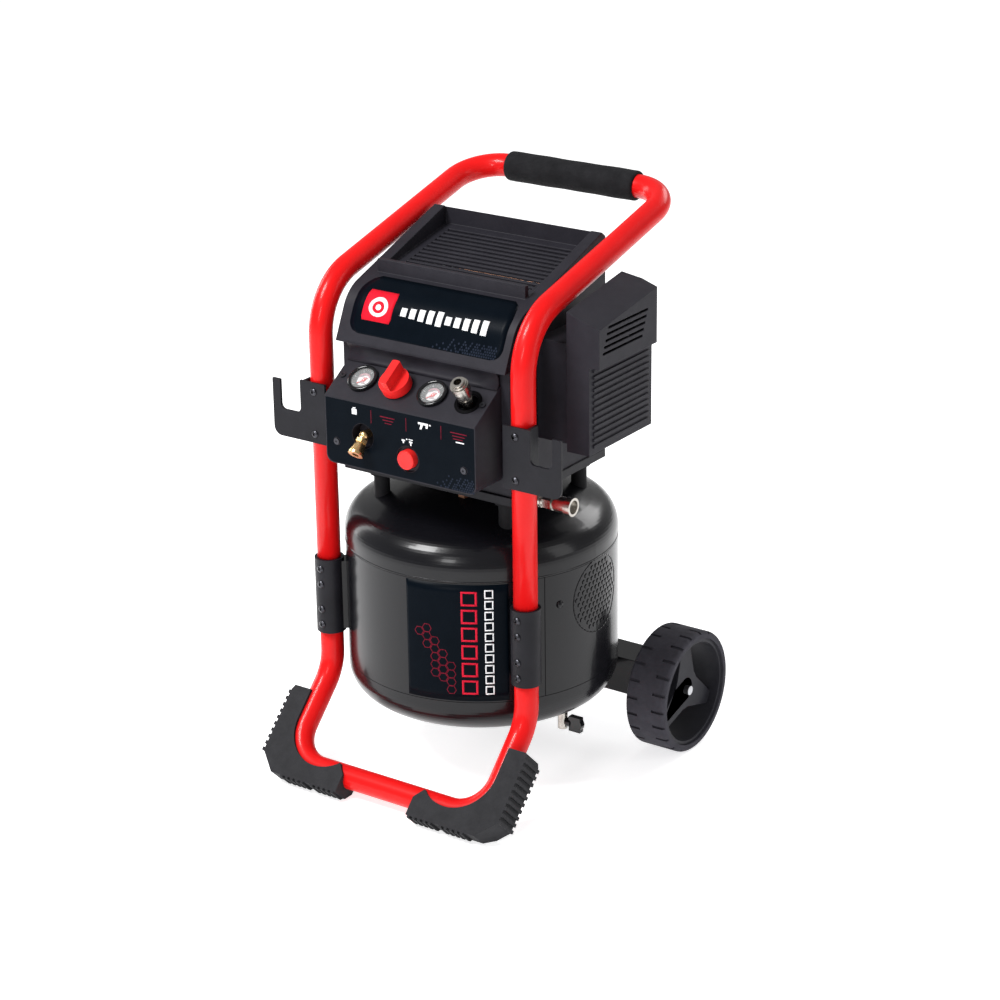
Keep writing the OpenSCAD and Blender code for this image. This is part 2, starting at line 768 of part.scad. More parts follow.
// Crank chambers bolted to the motor's ends, each with a bearing bore and a cylinder opening
module crankcases() {
    t = 5;
    depth = pump_face - motor_half;
    color("silver") for (side = [-1, 1]) mirrored(side) difference() {
        translate([motor_half, 0, shaft_z]) rotate([0, 90, 0]) cylinder(r = crank_r, h = depth, $fn = 96);
        translate([motor_half + t, 0, shaft_z]) rotate([0, 90, 0])
            cylinder(r = crank_r - t, h = depth - 2 * t, $fn = 96);
        translate([0, 0, shaft_z]) along_x(shaft_d + 2 * run_fit, 2 * big);
        translate([cylinder_x, 0, shaft_z]) cylinder(d = bore_d + 8 + 2 * set_gap, h = 60);
    }
}
module cylinders() {
    color("gray") for (side = [-1, 1]) translate([side * cylinder_x, 0, cylinder_z]) difference() {
        union() {
            tube_ring(bore_d + 8, bore_d, cylinder_h);
            for (z = [12, 20, 28]) translate([0, 0, z]) tube_ring(bore_d + 12, bore_d, 3);
        }
        translate([0, 0, -1]) cylinder(d = bore_d, h = cylinder_h + 2);
    }
}
module pump_head(side) {
    fins = 6;
    fin_t = 3;
    z0 = cylinder_z + cylinder_h;
    color("silver") translate([side * cylinder_x, 0, z0]) difference() {
        union() {
            translate([-head_w / 2, -head_w / 2, 0]) cube([head_w, head_w, 10]);
            for (i = [0 : fins - 1])
                translate([-head_w / 2 + i * (head_w - fin_t) / (fins - 1), -head_w / 2, 9])
                    cube([fin_t, head_w, head_fin_h - 9]);
        }
        translate([0, 0, 5]) rotate([-90, 0, 0]) cylinder(d = 5, h = head_w, $fn = 32);
        translate([0, 0, -1]) cylinder(d = bore_d - 14, h = 5);
    }
}
// Wobble piston: crown, rod and a big end that clears the eccentric all round
module piston(side) {
    crown_h = 7;
    crown_z = shaft_z + 61;
    rod_w = 14;
    end_r = ring_r + 4;
    color("silver") translate([side * cylinder_x, 0, 0]) union() {
        translate([0, 0, crown_z]) cylinder(d = bore_d - 2 * run_fit, h = crown_h);
        difference() {
            union() {
                translate([-5, -rod_w / 2, shaft_z + ring_r])
                    cube([10, rod_w, crown_z - shaft_z - ring_r + 1]);
                translate([0, 0, shaft_z]) along_x(2 * end_r, 10);
            }
            translate([0, 0, shaft_z]) along_x(2 * ring_r, 12);
        }
    }
}
// Pipe from both heads, joined behind the motor, down to the tank
module delivery_pipe() {
    z = cylinder_z + cylinder_h + 5;
    low = dome_z(pipe_y) + 16;
    color("peru") union() {
        translate([0, pipe_y, z]) along_x(pipe_d, 2 * cylinder_x, $fn = 32);
        for (side = [-1, 1]) translate([side * cylinder_x, 0, z]) {
            translate([0, head_w / 2, 0]) rotate([-90, 0, 0])
                cylinder(d = pipe_d, h = pipe_y - head_w / 2, $fn = 32);
            translate([0, pipe_y, 0]) sphere(d = pipe_d, $fn = 32);
        }
        translate([0, pipe_y, low]) cylinder(d = pipe_d, h = z - low, $fn = 32);
    }
}
module check_valve() {
    low = dome_z(pipe_y);
    color("gold") difference() {
        union() {
            translate([0, pipe_y, low - 12]) cylinder(d = 14 - 2 * set_gap, h = 14, $fn = 32);
            translate([0, pipe_y, low - 4]) cylinder(d = 20, h = 20, $fn = 6);
        }
        difference() {
            tank_outside();
            translate([0, pipe_y, low - 20]) cylinder(d = 14, h = 30, $fn = 32);
        }
        translate([0, pipe_y, low - 13]) cylinder(d = 6, h = 40, $fn = 32);
    }
}

// ---- control box ----

// Local frame of the sloping ledge: X to the right, Y up the slope, Z out of it
module ledge() { translate([0, ledge_mid_y, ledge_mid_z]) rotate([ledge_a, 0, 0]) children(); }
module box_profile(inset) {
    drop = inset / cos(ledge_a);
    polygon([[-box_front + inset, box_z + inset], [-ledge_back, box_z + inset],
        [-ledge_back, ledge_z - drop], [-box_front + inset, box_z + box_h - drop + inset * tan(ledge_a)]]);
}
module box_extrude(w, inset) {
    translate([-w / 2, 0, 0]) rotate([90, 0, 90]) linear_extrude(w) box_profile(inset);
}
module control_box() {
    corner = 10;
    cup_t = 3;
    color("dimgray") difference() {
        union() {
            difference() {
                box_extrude(box_w, 0);
                box_extrude(box_w - 2 * shell_t, shell_t);
            }
            translate([outlet_x, -box_front + 1, outlet_z]) rotate([-90, 0, 0])
                cylinder(d = outlet_hole + 2 * cup_t, h = cup_depth + cup_t - 1);
            translate([button_x, -box_front + 1, button_z]) rotate([-90, 0, 0])
                cylinder(d = button_ring + 2 * cup_t, h = ring_depth + cup_t - 1);
        }
        for (side = [-1, 1]) mirrored(side)
            translate([box_w / 2 - corner, 0, box_z + corner]) rotate([90, 0, 0])
                linear_extrude(2 * box_front, center = true) difference() {
                    translate([0, -corner - 1]) square(corner + 1);
                    circle(corner, $fn = 48);
                }
        ledge() {
            for (x = gauge_x) translate([x, 0, -20]) cylinder(d = gauge_d - 5 + 2 * set_gap, h = 40);
            translate([knob_x, 0, -20]) cylinder(d = 16, h = 40);
            translate([coupler_x, 0, -20]) cylinder(d = coupler_d + 2 * move_gap + 1, h = 40);
        }
        translate([button_x, -box_front, button_z]) rotate([90, 0, 0]) {
            cylinder(d = button_d + 2 * move_gap, h = 40, center = true);
            cylinder(d = button_ring, h = 2 * ring_depth, center = true);
        }
        translate([outlet_x, -box_front, outlet_z]) rotate([90, 0, 0]) {
            cylinder(d = outlet_hole, h = 2 * cup_depth, center = true);
            translate([0, 0, -cup_depth - 5]) cylinder(d = outlet_stem + 2 * set_gap, h = 20, $fn = 32);
        }
    }
}
module box_screws() {
    color("black") {
        for (side = [-1, 1]) translate([side * face_screw_x, -box_front, face_screw_z]) rotate([90, 0, 0])
            small_screw();
        for (side = [-1, 1]) ledge() translate([side * (box_w / 2 - 8), 0, 0]) small_screw();
    }
}
module small_screw() {
    difference() {
        translate([0, 0, set_gap / 2]) cylinder(d = 8, h = 1.6, $fn = 32);
        translate([0, 0, 0.8]) cylinder(d = 3, h = 2, $fn = 6);
    }
}
module gauge_cases() {
    color("black") ledge() for (x = gauge_x) translate([x, 0, 0]) difference() {
        union() {
            translate([0, 0, set_gap]) cylinder(d = gauge_d, h = bezel_h);
            translate([0, 0, -gauge_h + bezel_h]) cylinder(d = gauge_d - 5, h = gauge_h);
            translate([0, 0, manifold_z]) cylinder(d = 9, h = 5, $fn = 32);
        }
        translate([0, 0, -2]) cylinder(d = gauge_d - 8, h = 10);
    }
}
module gauge_dials() {
    color("white") ledge() for (x = gauge_x) translate([x, 0, -2]) {
        cylinder(d = gauge_d - 8 - set_gap, h = dial_z);
        cylinder(d = 1.6, h = dial_z + 1.8, $fn = 24);
    }
}
module gauge_lenses() {
    color("white", 0.3) ledge() for (x = gauge_x) translate([x, 0, 1.6])
        cylinder(d = gauge_d - 8 - set_gap, h = 1.2);
}
module needle(x) {
    color("red") ledge() translate([x, 0, -2 + dial_z + 0.3]) difference() {
        union() {
            cylinder(d = 5, h = needle_t, $fn = 32);
            rotate(225) translate([-5, -0.6, 0]) cube([17, 1.2, needle_t]);
        }
        translate([0, 0, -1]) cylinder(d = 1.6 + 2 * run_fit, h = 3, $fn = 24);
    }
}
// Knob with a raised grip bar, on the regulator's stem
module regulator_knob() {
    base_h = 13;
    grip_h = 15;
    color("red") ledge() translate([knob_x, 0, 1.2]) difference() {
        union() {
            cylinder(d = knob_d, h = base_h);
            intersection() {
                translate([-5.5, -knob_d / 2, base_h - 1]) cube([11, knob_d, grip_h + 1]);
                cylinder(d = knob_d - 2, h = base_h + grip_h);
            }
        }
        translate([0, 0, -1]) cylinder(d = stem_d + 2 * run_fit, h = 12, $fn = 48);
    }
}
// Aluminium air manifold inside the box, with the regulator's stem and the port of the tank pipe
module manifold() {
    depth = 16;
    passage = 5;
    color("silver") difference() {
        ledge() difference() {
            union() {
                translate([-88, -13, manifold_z - depth]) cube([190, 18, depth]);
                translate([knob_x, 0, manifold_z - 1]) cylinder(d = 14, h = -manifold_z - 1, $fn = 48);
                translate([knob_x, 0, manifold_z - 1]) cylinder(d = stem_d, h = 9 - manifold_z, $fn = 48);
            }
            translate([-89, -4, manifold_z - depth / 2]) rotate([0, 90, 0])
                cylinder(d = passage, h = 180, $fn = 32);
        }
        translate([feed_x, feed_y, feed_z]) rotate([90, 0, 0])
            cylinder(d = pipe_d + 2 * set_gap, h = ledge_back + 10 + feed_y, $fn = 32);
    }
}
module coupler_body() {
    color("silver") ledge() translate([coupler_x, 0, 0]) difference() {
        union() {
            translate([0, 0, manifold_z]) cylinder(d = 15, h = 5 - manifold_z, $fn = 48);
            translate([0, 0, 5]) cylinder(d = 19, h = 5, $fn = 6);
            translate([0, 0, 9]) cylinder(d = coupler_stem + 2, h = 29, $fn = 48);
        }
        translate([0, 0, 12]) cylinder(d = 10, h = 40, $fn = 48);
        translate([0, 0, -27]) cylinder(d = 6, h = 50, $fn = 32);
    }
}
module coupler_sleeve() {
    z0 = 10 + coupler_travel + move_gap;
    h = 21;
    bore = coupler_stem + 2 + 2 * run_fit;
    color("silver") ledge() translate([coupler_x, 0, z0]) difference() {
        union() {
            cylinder(d = coupler_d - 3, h = h, $fn = 64);
            translate([0, 0, h - 12]) cylinder(d = coupler_d, h = 9, $fn = 64);
        }
        translate([0, 0, -1]) cylinder(d = bore, h = h + 2, $fn = 64);
    }
}
// Unregulated brass outlet: a stem through the recess's floor and an elbow forward and down
module tank_outlet() {
    elbow_y = -box_front + 3;
    color("gold") translate([outlet_x, elbow_y, outlet_z]) difference() {
        union() {
            rotate([-90, 0, 0]) cylinder(d = outlet_stem, h = 36, $fn = 48);
            sphere(d = 13, $fn = 48);
            rotate([135, 0, 0]) {
                cylinder(d = 11, h = 8, $fn = 48);
                translate([0, 0, 6]) cylinder(d = 15, h = 5, $fn = 6);
                translate([0, 0, 10]) cylinder(d1 = 12, d2 = 19, h = 14, $fn = 48);
                translate([0, 0, 23.5]) cylinder(d = 19, h = 3.5, $fn = 48);
            }
        }
        rotate([135, 0, 0]) translate([0, 0, 2]) cylinder(d = 5, h = 40, $fn = 32);
        rotate([135, 0, 0]) translate([0, 0, 16]) cylinder(d = 9, h = 20, $fn = 32);
    }
}
module pressure_switch() {
    plunger = box_front + switch_y - switch_half - 6 - button_travel - move_gap;
    color("black") {
        translate([button_x - 20, switch_y - switch_half, switch_low]) cube([40, 2 * switch_half, 34]);
        translate([button_x, switch_y - switch_half + 1, button_z]) rotate([90, 0, 0])
            cylinder(d = 6, h = plunger + 5, $fn = 32);
    }
}
// Pipe from a fitting on the tank up through the pan and forward into the manifold
module tank_pipe() {
    low = dome_z(sqrt(feed_x * feed_x + feed_y * feed_y));
    reach = -ledge_back - 9 - feed_y;
    color("peru") union() {
        translate([feed_x, feed_y, low - 12]) cylinder(d = 9 - 2 * set_gap, h = 12, $fn = 32);
        difference() {
            translate([feed_x, feed_y, low - 8]) cylinder(d = 18, h = 20, $fn = 6);
            tank_outside();
        }
        translate([feed_x, feed_y, low + 6]) cylinder(d = pipe_d, h = feed_z - low - 6, $fn = 32);
        translate([feed_x, feed_y, feed_z]) sphere(d = pipe_d, $fn = 32);
        translate([feed_x, feed_y, feed_z]) rotate([90, 0, 0]) cylinder(d = pipe_d, h = -reach, $fn = 32);
    }
}
module power_button() {
    proud = 6;
    color("red") translate([button_x, -box_front - proud, button_z]) rotate([-90, 0, 0]) difference() {
        union() {
            cylinder(d = button_d, h = proud + 8);
        }
        translate([0, 0, proud + 2]) cylinder(d = button_d - 5, h = 20);
    }
}
// Safety valve on the pan's right side, with its spring-loaded pull cap
module safety_valve() {
    nut_d = 22;
    body_d = 15;
    ridge_d = 18;
    color("silver") translate([pan_w / 2, relief_y, relief_z]) rotate([0, 90, 0]) {
        translate([0, 0, set_gap / 2]) cylinder(d = nut_d, h = 10, $fn = 6);
        translate([0, 0, 8]) cylinder(d = body_d, h = 36, $fn = 48);
        for (z = [14, 18, 22]) translate([0, 0, z]) cylinder(d = ridge_d, h = 2, $fn = 48);
        translate([0, 0, 28]) cylinder(d = nut_d - 1, h = 12, $fn = 6);
        translate([0, 0, 42]) cylinder(d = 5, h = 14, $fn = 32);
    }
}
module safety_pull() {
    pull_d = 20;
    ring_d = 23;
    mouth_d = 17;
    pull_x = pan_w / 2 + 44 + set_gap;
    color("silver") translate([pull_x, relief_y, relief_z]) rotate([0, 90, 0]) difference() {
        union() {
            cylinder(d = pull_d, h = 16, $fn = 48);
            translate([0, 0, 15]) cylinder(d = ring_d, h = 9, $fn = 48);
        }
        translate([0, 0, -1]) cylinder(d = 5 + 2 * run_fit, h = 18, $fn = 32);
        translate([0, 0, 18]) cylinder(d = mouth_d, h = 10, $fn = 48);
    }
}

// ---- covers ----

// Side outline of the cover: leaning front, rounded edge, sloping top, upright back
module cover_profile(inset) {
    lean = cover_lean;
    z0 = cover_z;
    // Where the leaning front meets the top line
    y1 = (cover_top - z0 - cover_front * tan(lean)) / (tan(lean) - tan(cover_slope));
    z1 = cover_line(y1);
    t = cover_r * tan((lean - cover_slope) / 2);
    // Centre of the rounded edge
    cy = y1 - t * cos(lean) + cover_r * sin(lean);
    cz = z1 - t * sin(lean) - cover_r * cos(lean);
    r = cover_r - inset;
    edge = [for (i = [0 : 10]) let(a = 90 + lean - i * (lean - cover_slope) / 10)
        [cy + r * cos(a), cz + r * sin(a)]];
    back = cover_back - inset;
    low = z0 - (inset > 0 ? 1 : 0);
    foot_y = -cover_front + inset / sin(lean) - (inset > 0 ? 1 / tan(lean) : 0);
    polygon(concat([[foot_y, low]], edge,
        [[back - 8, cover_line(back - 8) - inset / cos(cover_slope)],
         [back, cover_line(back - 8) - 6 - inset / cos(cover_slope)], [back, low]]));
}
module cover_extrude(w, inset) {
    translate([-w / 2, 0, 0]) rotate([90, 0, 90]) linear_extrude(w) cover_profile(inset);
}
// Everything above a line that slopes with the tray's floor
module above_tray(w, y0, y1, depth) {
    translate([-w / 2, 0, 0]) rotate([90, 0, 90]) linear_extrude(w)
        polygon([[y0, tray_line(y0) - depth], [y1, tray_line(y1) - depth], [y1, big], [y0, big]]);
}
module top_cover() {
    pitch = (tray_back + tray_front - 40) / (tray_slots - 1);
    color("dimgray") difference() {
        union() {
            difference() {
                cover_extrude(cover_w, 0);
                difference() {
                    cover_extrude(cover_w - 2 * shell_t, shell_t);
                    above_tray(tray_w + 2 * shell_t, -tray_front - shell_t, tray_back + shell_t, shell_t);
                }
                above_tray(tray_w, -tray_front, tray_back, 0);
            }
            translate([-tray_w / 2, -tray_front - lip_t, cover_line(-tray_front) - 12])
                cube([tray_w, lip_t, 12 + lip_h]);
        }
        neck_window();
        for (i = [0 : tray_slots - 1]) let(y = -tray_front + 26 + i * pitch)
            translate([0, y, tray_line(y)]) cube([tray_w - 26, slot_w, 6 * shell_t], center = true);
    }
}
// Side shroud: a shell beyond the frame tube, with a neck that leads in under the tube
module shroud_shape(inset) {
    front = shroud_mid_y - shroud_d / 2;
    back = shroud_mid_y + shroud_d / 2;
    x_in = shroud_in + inset;
    x_step = shroud_w / 2 - shroud_step - inset;
    x_out = shroud_w / 2 - inset;
    z_in = shroud_z + inset;
    top = shroud_top - inset;
    rise = tan(shroud_slope) * shroud_d;
    roof_turn = 18;
    corner_turn = 42;
    corner_in = 22;
    head_short = 11;
    difference() {
        translate([0, back - inset, 0]) rotate([90, 0, 0]) linear_extrude(shroud_d - 2 * inset)
            polygon([[x_in, z_in], [x_step, z_in], [x_step, shroud_step_z + inset],
                [x_out, shroud_step_z + inset], [x_out, top + rise], [x_in, top + rise]]);
        translate([shroud_in, front, top]) rotate([shroud_slope, 0, 0]) rotate([0, roof_turn, 0])
            translate([-40, -40, 0]) cube([160, 260, 80]);
        translate([0, back - corner_in - inset, top + rise]) rotate([-corner_turn, 0, 0])
            cube([big, 80, 80]);
        translate([0, back - head_short - inset, shroud_step_z + inset]) cube([big, 80, 160]);
    }
}
module neck_shape(inset) {
    translate([neck_in - inset, -neck_half + inset, neck_low + inset])
        cube([shroud_in + shell_t + 2 * inset - neck_in, 2 * (neck_half - inset),
            neck_high - neck_low - 2 * inset]);
}
module side_shroud() {
    ribs = 13;
    rib_out = 2;
    margin = 8;
    front = shroud_mid_y - shroud_d / 2;
    rib_pitch = (shroud_step_z - shroud_z - margin) / ribs;
    louvre_pitch = 7.5;
    x_rib = shroud_w / 2 - shroud_step - 1;
    x_slot = shroud_w / 2 - 2 * shell_t;
    color("dimgray") difference() {
        union() {
            shroud_shape(0);
            neck_shape(0);
            for (i = [0 : ribs - 1])
                translate([x_rib, front + margin, shroud_z + margin + i * rib_pitch])
                    cube([1 + rib_out, shroud_d - 2 * margin, rib_pitch / 2]);
        }
        shroud_shape(shell_t);
        neck_shape(shell_t);
        for (i = [0 : louvres - 1])
            translate([x_slot, front + margin + 3 * i, shroud_step_z + 16 + i * louvre_pitch])
                cube([3 * shell_t, shroud_d - 6.5 * margin, 3]);
    }
}

place() upper_frame();
place() lower_frame();
place() handle_grip();
place() sleeve(-1);  // sleeve_left
place() sleeve(1);  // sleeve_right
place() frame_screws();
place() tank_bracket(-1);  // tank_bracket_left
place() tank_bracket(1);  // tank_bracket_right
place() hook(-1);  // hook_left
place() hook(1);  // hook_right
place() foot(-1);  // foot_left
place() foot(1);  // foot_right
place() tank_wall();
place() tank_head_top();
place() tank_head_bottom();
place() drain_valve();
place() drain_knob();
place() axle_bracket();
place() axle();
place() axle_nuts();
place() rim(-1);  // rim_left
place() rim(1);  // rim_right
place() tyre(-1);  // tyre_left
place() tyre(1);  // tyre_right
place() rubber_mounts();
place() base_pan();
place() pump_housing();
place() motor_housing();
place() stator();
place() rotor();
place() fan();
place() crankcases();
place() cylinders();
place() pump_head(-1);  // head_left
place() pump_head(1);  // head_right
place() piston(-1);  // piston_left
place() piston(1);  // piston_right
place() delivery_pipe();
place() check_valve();
place() cable_gland();
place() control_box();
place() box_screws();
place() manifold();
place() pressure_switch();
place() power_button();
place() gauge_cases();
place() gauge_dials();
place() gauge_lenses();
place() needle(gauge_x[0]);  // needle_left
place() needle(gauge_x[1]);  // needle_right
place() regulator_knob();
place() coupler_body();
place() coupler_sleeve();
place() tank_outlet();
place() tank_pipe();
place() safety_valve();
place() safety_pull();
place() top_cover();
place() side_shroud();
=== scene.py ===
# %% [markdown]
# # A silent air compressor on a tube frame
# A black air tank carries two piston pumps under moulded covers. A red tube frame holds the tank, and
# ends in a foam handle above and rubber feet below. Two wheels behind let it roll when it is tipped.
# The frame of this lesson is a model made elsewhere: each of its parts is already in place, in metres,
# with Z up. Here each part gets its finish, and the parts that need soft edges, print, seams or dials
# get a piece of their own. The first cell loads the model.

import json
import math

import bmesh
import bpy
from mathutils import Matrix, Vector
from mathutils.bvhtree import BVHTree


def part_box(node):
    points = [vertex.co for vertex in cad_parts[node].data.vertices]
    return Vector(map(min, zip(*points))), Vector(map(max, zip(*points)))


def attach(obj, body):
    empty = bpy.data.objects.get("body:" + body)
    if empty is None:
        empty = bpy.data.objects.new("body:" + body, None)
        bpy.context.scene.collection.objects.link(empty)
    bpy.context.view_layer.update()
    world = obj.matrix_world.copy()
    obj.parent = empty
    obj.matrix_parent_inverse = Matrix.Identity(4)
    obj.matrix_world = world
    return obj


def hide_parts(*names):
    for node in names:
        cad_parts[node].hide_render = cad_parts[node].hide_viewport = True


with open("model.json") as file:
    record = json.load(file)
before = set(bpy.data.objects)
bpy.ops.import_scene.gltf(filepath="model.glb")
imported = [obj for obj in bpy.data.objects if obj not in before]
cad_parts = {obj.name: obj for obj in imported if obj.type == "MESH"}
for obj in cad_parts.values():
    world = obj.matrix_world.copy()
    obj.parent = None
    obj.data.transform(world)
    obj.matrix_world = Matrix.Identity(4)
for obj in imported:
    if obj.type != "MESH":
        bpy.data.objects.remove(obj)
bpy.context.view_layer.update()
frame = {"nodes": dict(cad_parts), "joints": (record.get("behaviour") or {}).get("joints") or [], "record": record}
record = frame["record"]
mm = 0.001

# %% [markdown]
# ## Writing a finish as arithmetic
# A material in Blender is a graph of nodes. Making every node by hand hides the idea of a finish
# behind its wiring, so one small class wraps an output socket. Adding or multiplying two wires makes
# the Math node that does it, with the number on either side. The second class is the material itself.
# Its one method makes any other node: settings first, then the values or links of its sockets.

# %% A wire that can be calculated with
class Wire:
    """The output of a node, which can be used in sums."""

    def __init__(self, finish, socket):
        self.finish = finish
        self.socket = socket

    def sum(self, operation, first, second):
        return self.finish.node("ShaderNodeMath", {"operation": operation}, {0: first, 1: second})

    def __add__(self, other):
        return self.sum("ADD", self, other)

    def __radd__(self, other):
        return self.sum("ADD", other, self)

    def __sub__(self, other):
        return self.sum("SUBTRACT", self, other)

    def __rsub__(self, other):
        return self.sum("SUBTRACT", other, self)

    def __mul__(self, other):
        return self.sum("MULTIPLY", self, other)

    def __rmul__(self, other):
        return self.sum("MULTIPLY", other, self)


class Finish:
    """A material, and the ways to add nodes to it."""

    def __init__(self, name):
        self.material = bpy.data.materials.new(name)
        self.material.use_nodes = True
        self.tree = self.material.node_tree
        self.tree.nodes.clear()

    def node(self, kind, settings=None, sockets=None, out=0):
        made = self.tree.nodes.new(kind)
        for name, value in (settings or {}).items():
            if name == "stops":
                ramp = made.color_ramp
                for element, (position, shade) in zip(ramp.elements, value):
                    element.position = position
                    element.color = (*shade, 1.0)
            else:
                setattr(made, name, value)
        for name, value in (sockets or {}).items():
            if isinstance(value, Wire):
                self.tree.links.new(value.socket, made.inputs[name])
            else:
                made.inputs[name].default_value = value
        return Wire(self, made.outputs[out])

    def place(self):
        """The point on the object, in metres."""
        return self.node("ShaderNodeTexCoord", out="Object")

    def noise(self, grain, detail=3.0, roughness=0.6):
        """Clouds whose patches are about grain metres across, from 0 to 1."""
        sockets = {"Vector": self.place(), "Scale": 1 / grain, "Detail": detail, "Roughness": roughness}
        return self.node("ShaderNodeTexNoise", {}, sockets)

    def cells(self, size):
        """Distance from the middle of small random cells, size metres apart."""
        return self.node("ShaderNodeTexVoronoi", {}, {"Vector": self.place(), "Scale": 1 / size})

    def shade(self, factor, dark, light):
        """A colour between two, by a factor from 0 to 1."""
        stops = [(0.25, dark), (0.75, light)]
        return self.node("ShaderNodeValToRGB", {"stops": stops}, {"Fac": factor})

    def relief(self, height, depth, strength=1.0):
        """The surface normal tilted as if height, from 0 to 1, were depth metres tall."""
        return self.node("ShaderNodeBump", {}, {"Height": height, "Distance": depth, "Strength": strength})

    def surface(self, sockets):
        """The shader itself, joined to the output."""
        shader = self.node("ShaderNodeBsdfPrincipled", {}, sockets, out="BSDF")
        output = self.tree.nodes.new("ShaderNodeOutputMaterial")
        self.tree.links.new(shader.socket, output.inputs["Surface"])
        return self.material


print("wires and finishes are ready")

# %% [markdown]
# ## Red powder coat
# The frame is powder-coated tube: a deep even red under a clear glossy skin. Up close such a skin is
# never flat. It has the slight waviness that painters call orange peel, a few millimetres across and
# only some hundredths of a millimetre deep. A bump from soft noise gives it, so that long highlights
# waver a little. The coat is a second glossy layer on the shader, as lacquer is on the real tube.

# %% Red paint
def red_powder_coat():
    paint = Finish("red_powder_coat")
    peel = paint.noise(0.0035, 2.0, 0.5)
    cloud = paint.noise(0.06, 3.0)
    return paint.surface({
        "Base Color": paint.shade(cloud, (0.62, 0.005, 0.006), (0.70, 0.008, 0.008)),
        "Roughness": 0.30 + 0.08 * paint.noise(0.012),
        "Specular IOR Level": 0.1,
        "Coat Weight": 0.15,
        "Coat Roughness": 0.10,
        "Normal": paint.relief(peel, 0.00012),
    })


finishes = {"red_paint": red_powder_coat()}
print("finishes", list(finishes))

# %% [markdown]
# ## Black paint, glossy and satin
# The tank is sprayed in gloss black, and shows soft bright reflections on its dome. Brackets, hooks
# and sleeves have a satin black coat that spreads the light. Both are the same idea with other
# numbers, so one function makes both: base colour, roughness with slow variation, orange peel.

# %% Black paints
def black_coat(name, dark, light, smooth, rough, peel_depth, coat, shine):
    paint = Finish(name)
    peel = paint.noise(0.004, 2.0, 0.5)
    return paint.surface({
        "Base Color": paint.shade(paint.noise(0.05), dark, light),
        "Roughness": smooth + (rough - smooth) * paint.noise(0.02, 4.0),
        "Specular IOR Level": shine,
        "Coat Weight": coat,
        "Coat Roughness": 0.06,
        "Normal": paint.relief(peel, peel_depth),
    })


finishes["black_gloss_paint"] = black_coat(
    "tank_gloss_black", (0.0032, 0.0032, 0.0044), (0.0044, 0.0044, 0.0060), 0.20, 0.26, 0.00005, 0.14, 0.22)
finishes["black_satin_paint"] = black_coat(
    "bracket_satin_black", (0.0075, 0.0075, 0.0098), (0.013, 0.0125, 0.0165), 0.36, 0.50, 0.00012, 0.0, 0.15)
print("finishes", list(finishes))

# %% [markdown]
# ## Moulded plastics
# The covers are moulded in dark grey plastic with a fine leather-like texture from the mould. The
# texture is cells of half a millimetre: a Voronoi pattern for the cells, noise for the wander between
# them. Handling polishes some places a little, so the roughness varies in large soft patches. The
# smooth gloss of the gauge rims and the satin of the wheels use the same function with less texture.

# %% Plastics
def moulded(name, dark, light, smooth, rough, cell, depth, coat=0.0):
    plastic = Finish(name)
    texture = 0.6 * plastic.cells(cell) + 0.4 * plastic.noise(cell * 3, 4.0, 0.7)
    return plastic.surface({
        "Base Color": plastic.shade(plastic.noise(0.03, 5.0, 0.7), dark, light),
        "Roughness": smooth + (rough - smooth) * plastic.noise(0.025, 4.0, 0.65),
        "Specular IOR Level": 0.14,
        "Coat Weight": coat,
        "Coat Roughness": 0.05,
        "Normal": plastic.relief(texture, depth),
    })


finishes["cover_plastic"] = moulded(
    "cover_grained_plastic", (0.014, 0.0132, 0.0178), (0.021, 0.0200, 0.0262), 0.42, 0.56, 0.0006, 0.00008)
finishes["rim_plastic"] = moulded(
    "wheel_satin_plastic", (0.019, 0.019, 0.024), (0.027, 0.027, 0.033), 0.40, 0.52, 0.0012, 0.00004)
finishes["gloss_black_plastic"] = moulded(
    "gauge_gloss_plastic", (0.003, 0.003, 0.004), (0.006, 0.006, 0.007), 0.08, 0.18, 0.003, 0.00001, 0.6)
finishes["red_plastic"] = moulded(
    "knob_red_plastic", (0.66, 0.012, 0.013), (0.80, 0.022, 0.020), 0.30, 0.42, 0.0015, 0.00003, 0.2)
print("finishes", len(finishes))

# %% [markdown]
# ## Rubber and foam
# Tyres and feet are hard rubber: darker in the hollows, dusty on the worn faces, and never shiny.
# The handle is closed-cell foam, which shows tiny open bubbles where it was cut. Voronoi cells a
# millimetre across, taken as pits, give the bubbles.

# %% Rubbers and foam
def rubber(name, dark, light, pit, depth, smooth=0.62, rough=0.80):
    gum = Finish(name)
    wear = gum.noise(0.018, 6.0, 0.7)
    pits = 0.5 * gum.cells(pit) + 0.5 * gum.noise(pit * 4, 5.0, 0.7)
    return gum.surface({
        "Base Color": gum.shade(wear, dark, light),
        "Roughness": smooth + (rough - smooth) * gum.noise(0.010, 4.0),
        "Specular IOR Level": 0.14,
        "Normal": gum.relief(pits, depth),
    })


finishes["foot_rubber"] = rubber(
    "foot_rubber", (0.016, 0.016, 0.018), (0.027, 0.027, 0.030), 0.0011, 0.00022)
finishes["tyre_rubber"] = rubber(
    "tyre_rubber", (0.030, 0.029, 0.036), (0.052, 0.050, 0.062), 0.0014, 0.00025)
finishes["mount_rubber"] = rubber(
    "mount_rubber", (0.008, 0.008, 0.009), (0.015, 0.015, 0.017), 0.001, 0.0001)
finishes["grip_foam"] = rubber(
    "grip_foam", (0.006, 0.006, 0.007), (0.016, 0.016, 0.018), 0.0010, 0.0005, 0.8, 0.95)
print("finishes", len(finishes))

# %% [markdown]
# ## Metals
# Nickel plate, zinc-plated steel, brass, copper pipe and cast aluminium differ in colour and in how
# they were worked. Turned and drawn metal has fine scratches, cast metal has grain. Metallic is 1, the
# base colour is the colour of the reflection, and the roughness carries the scratches.

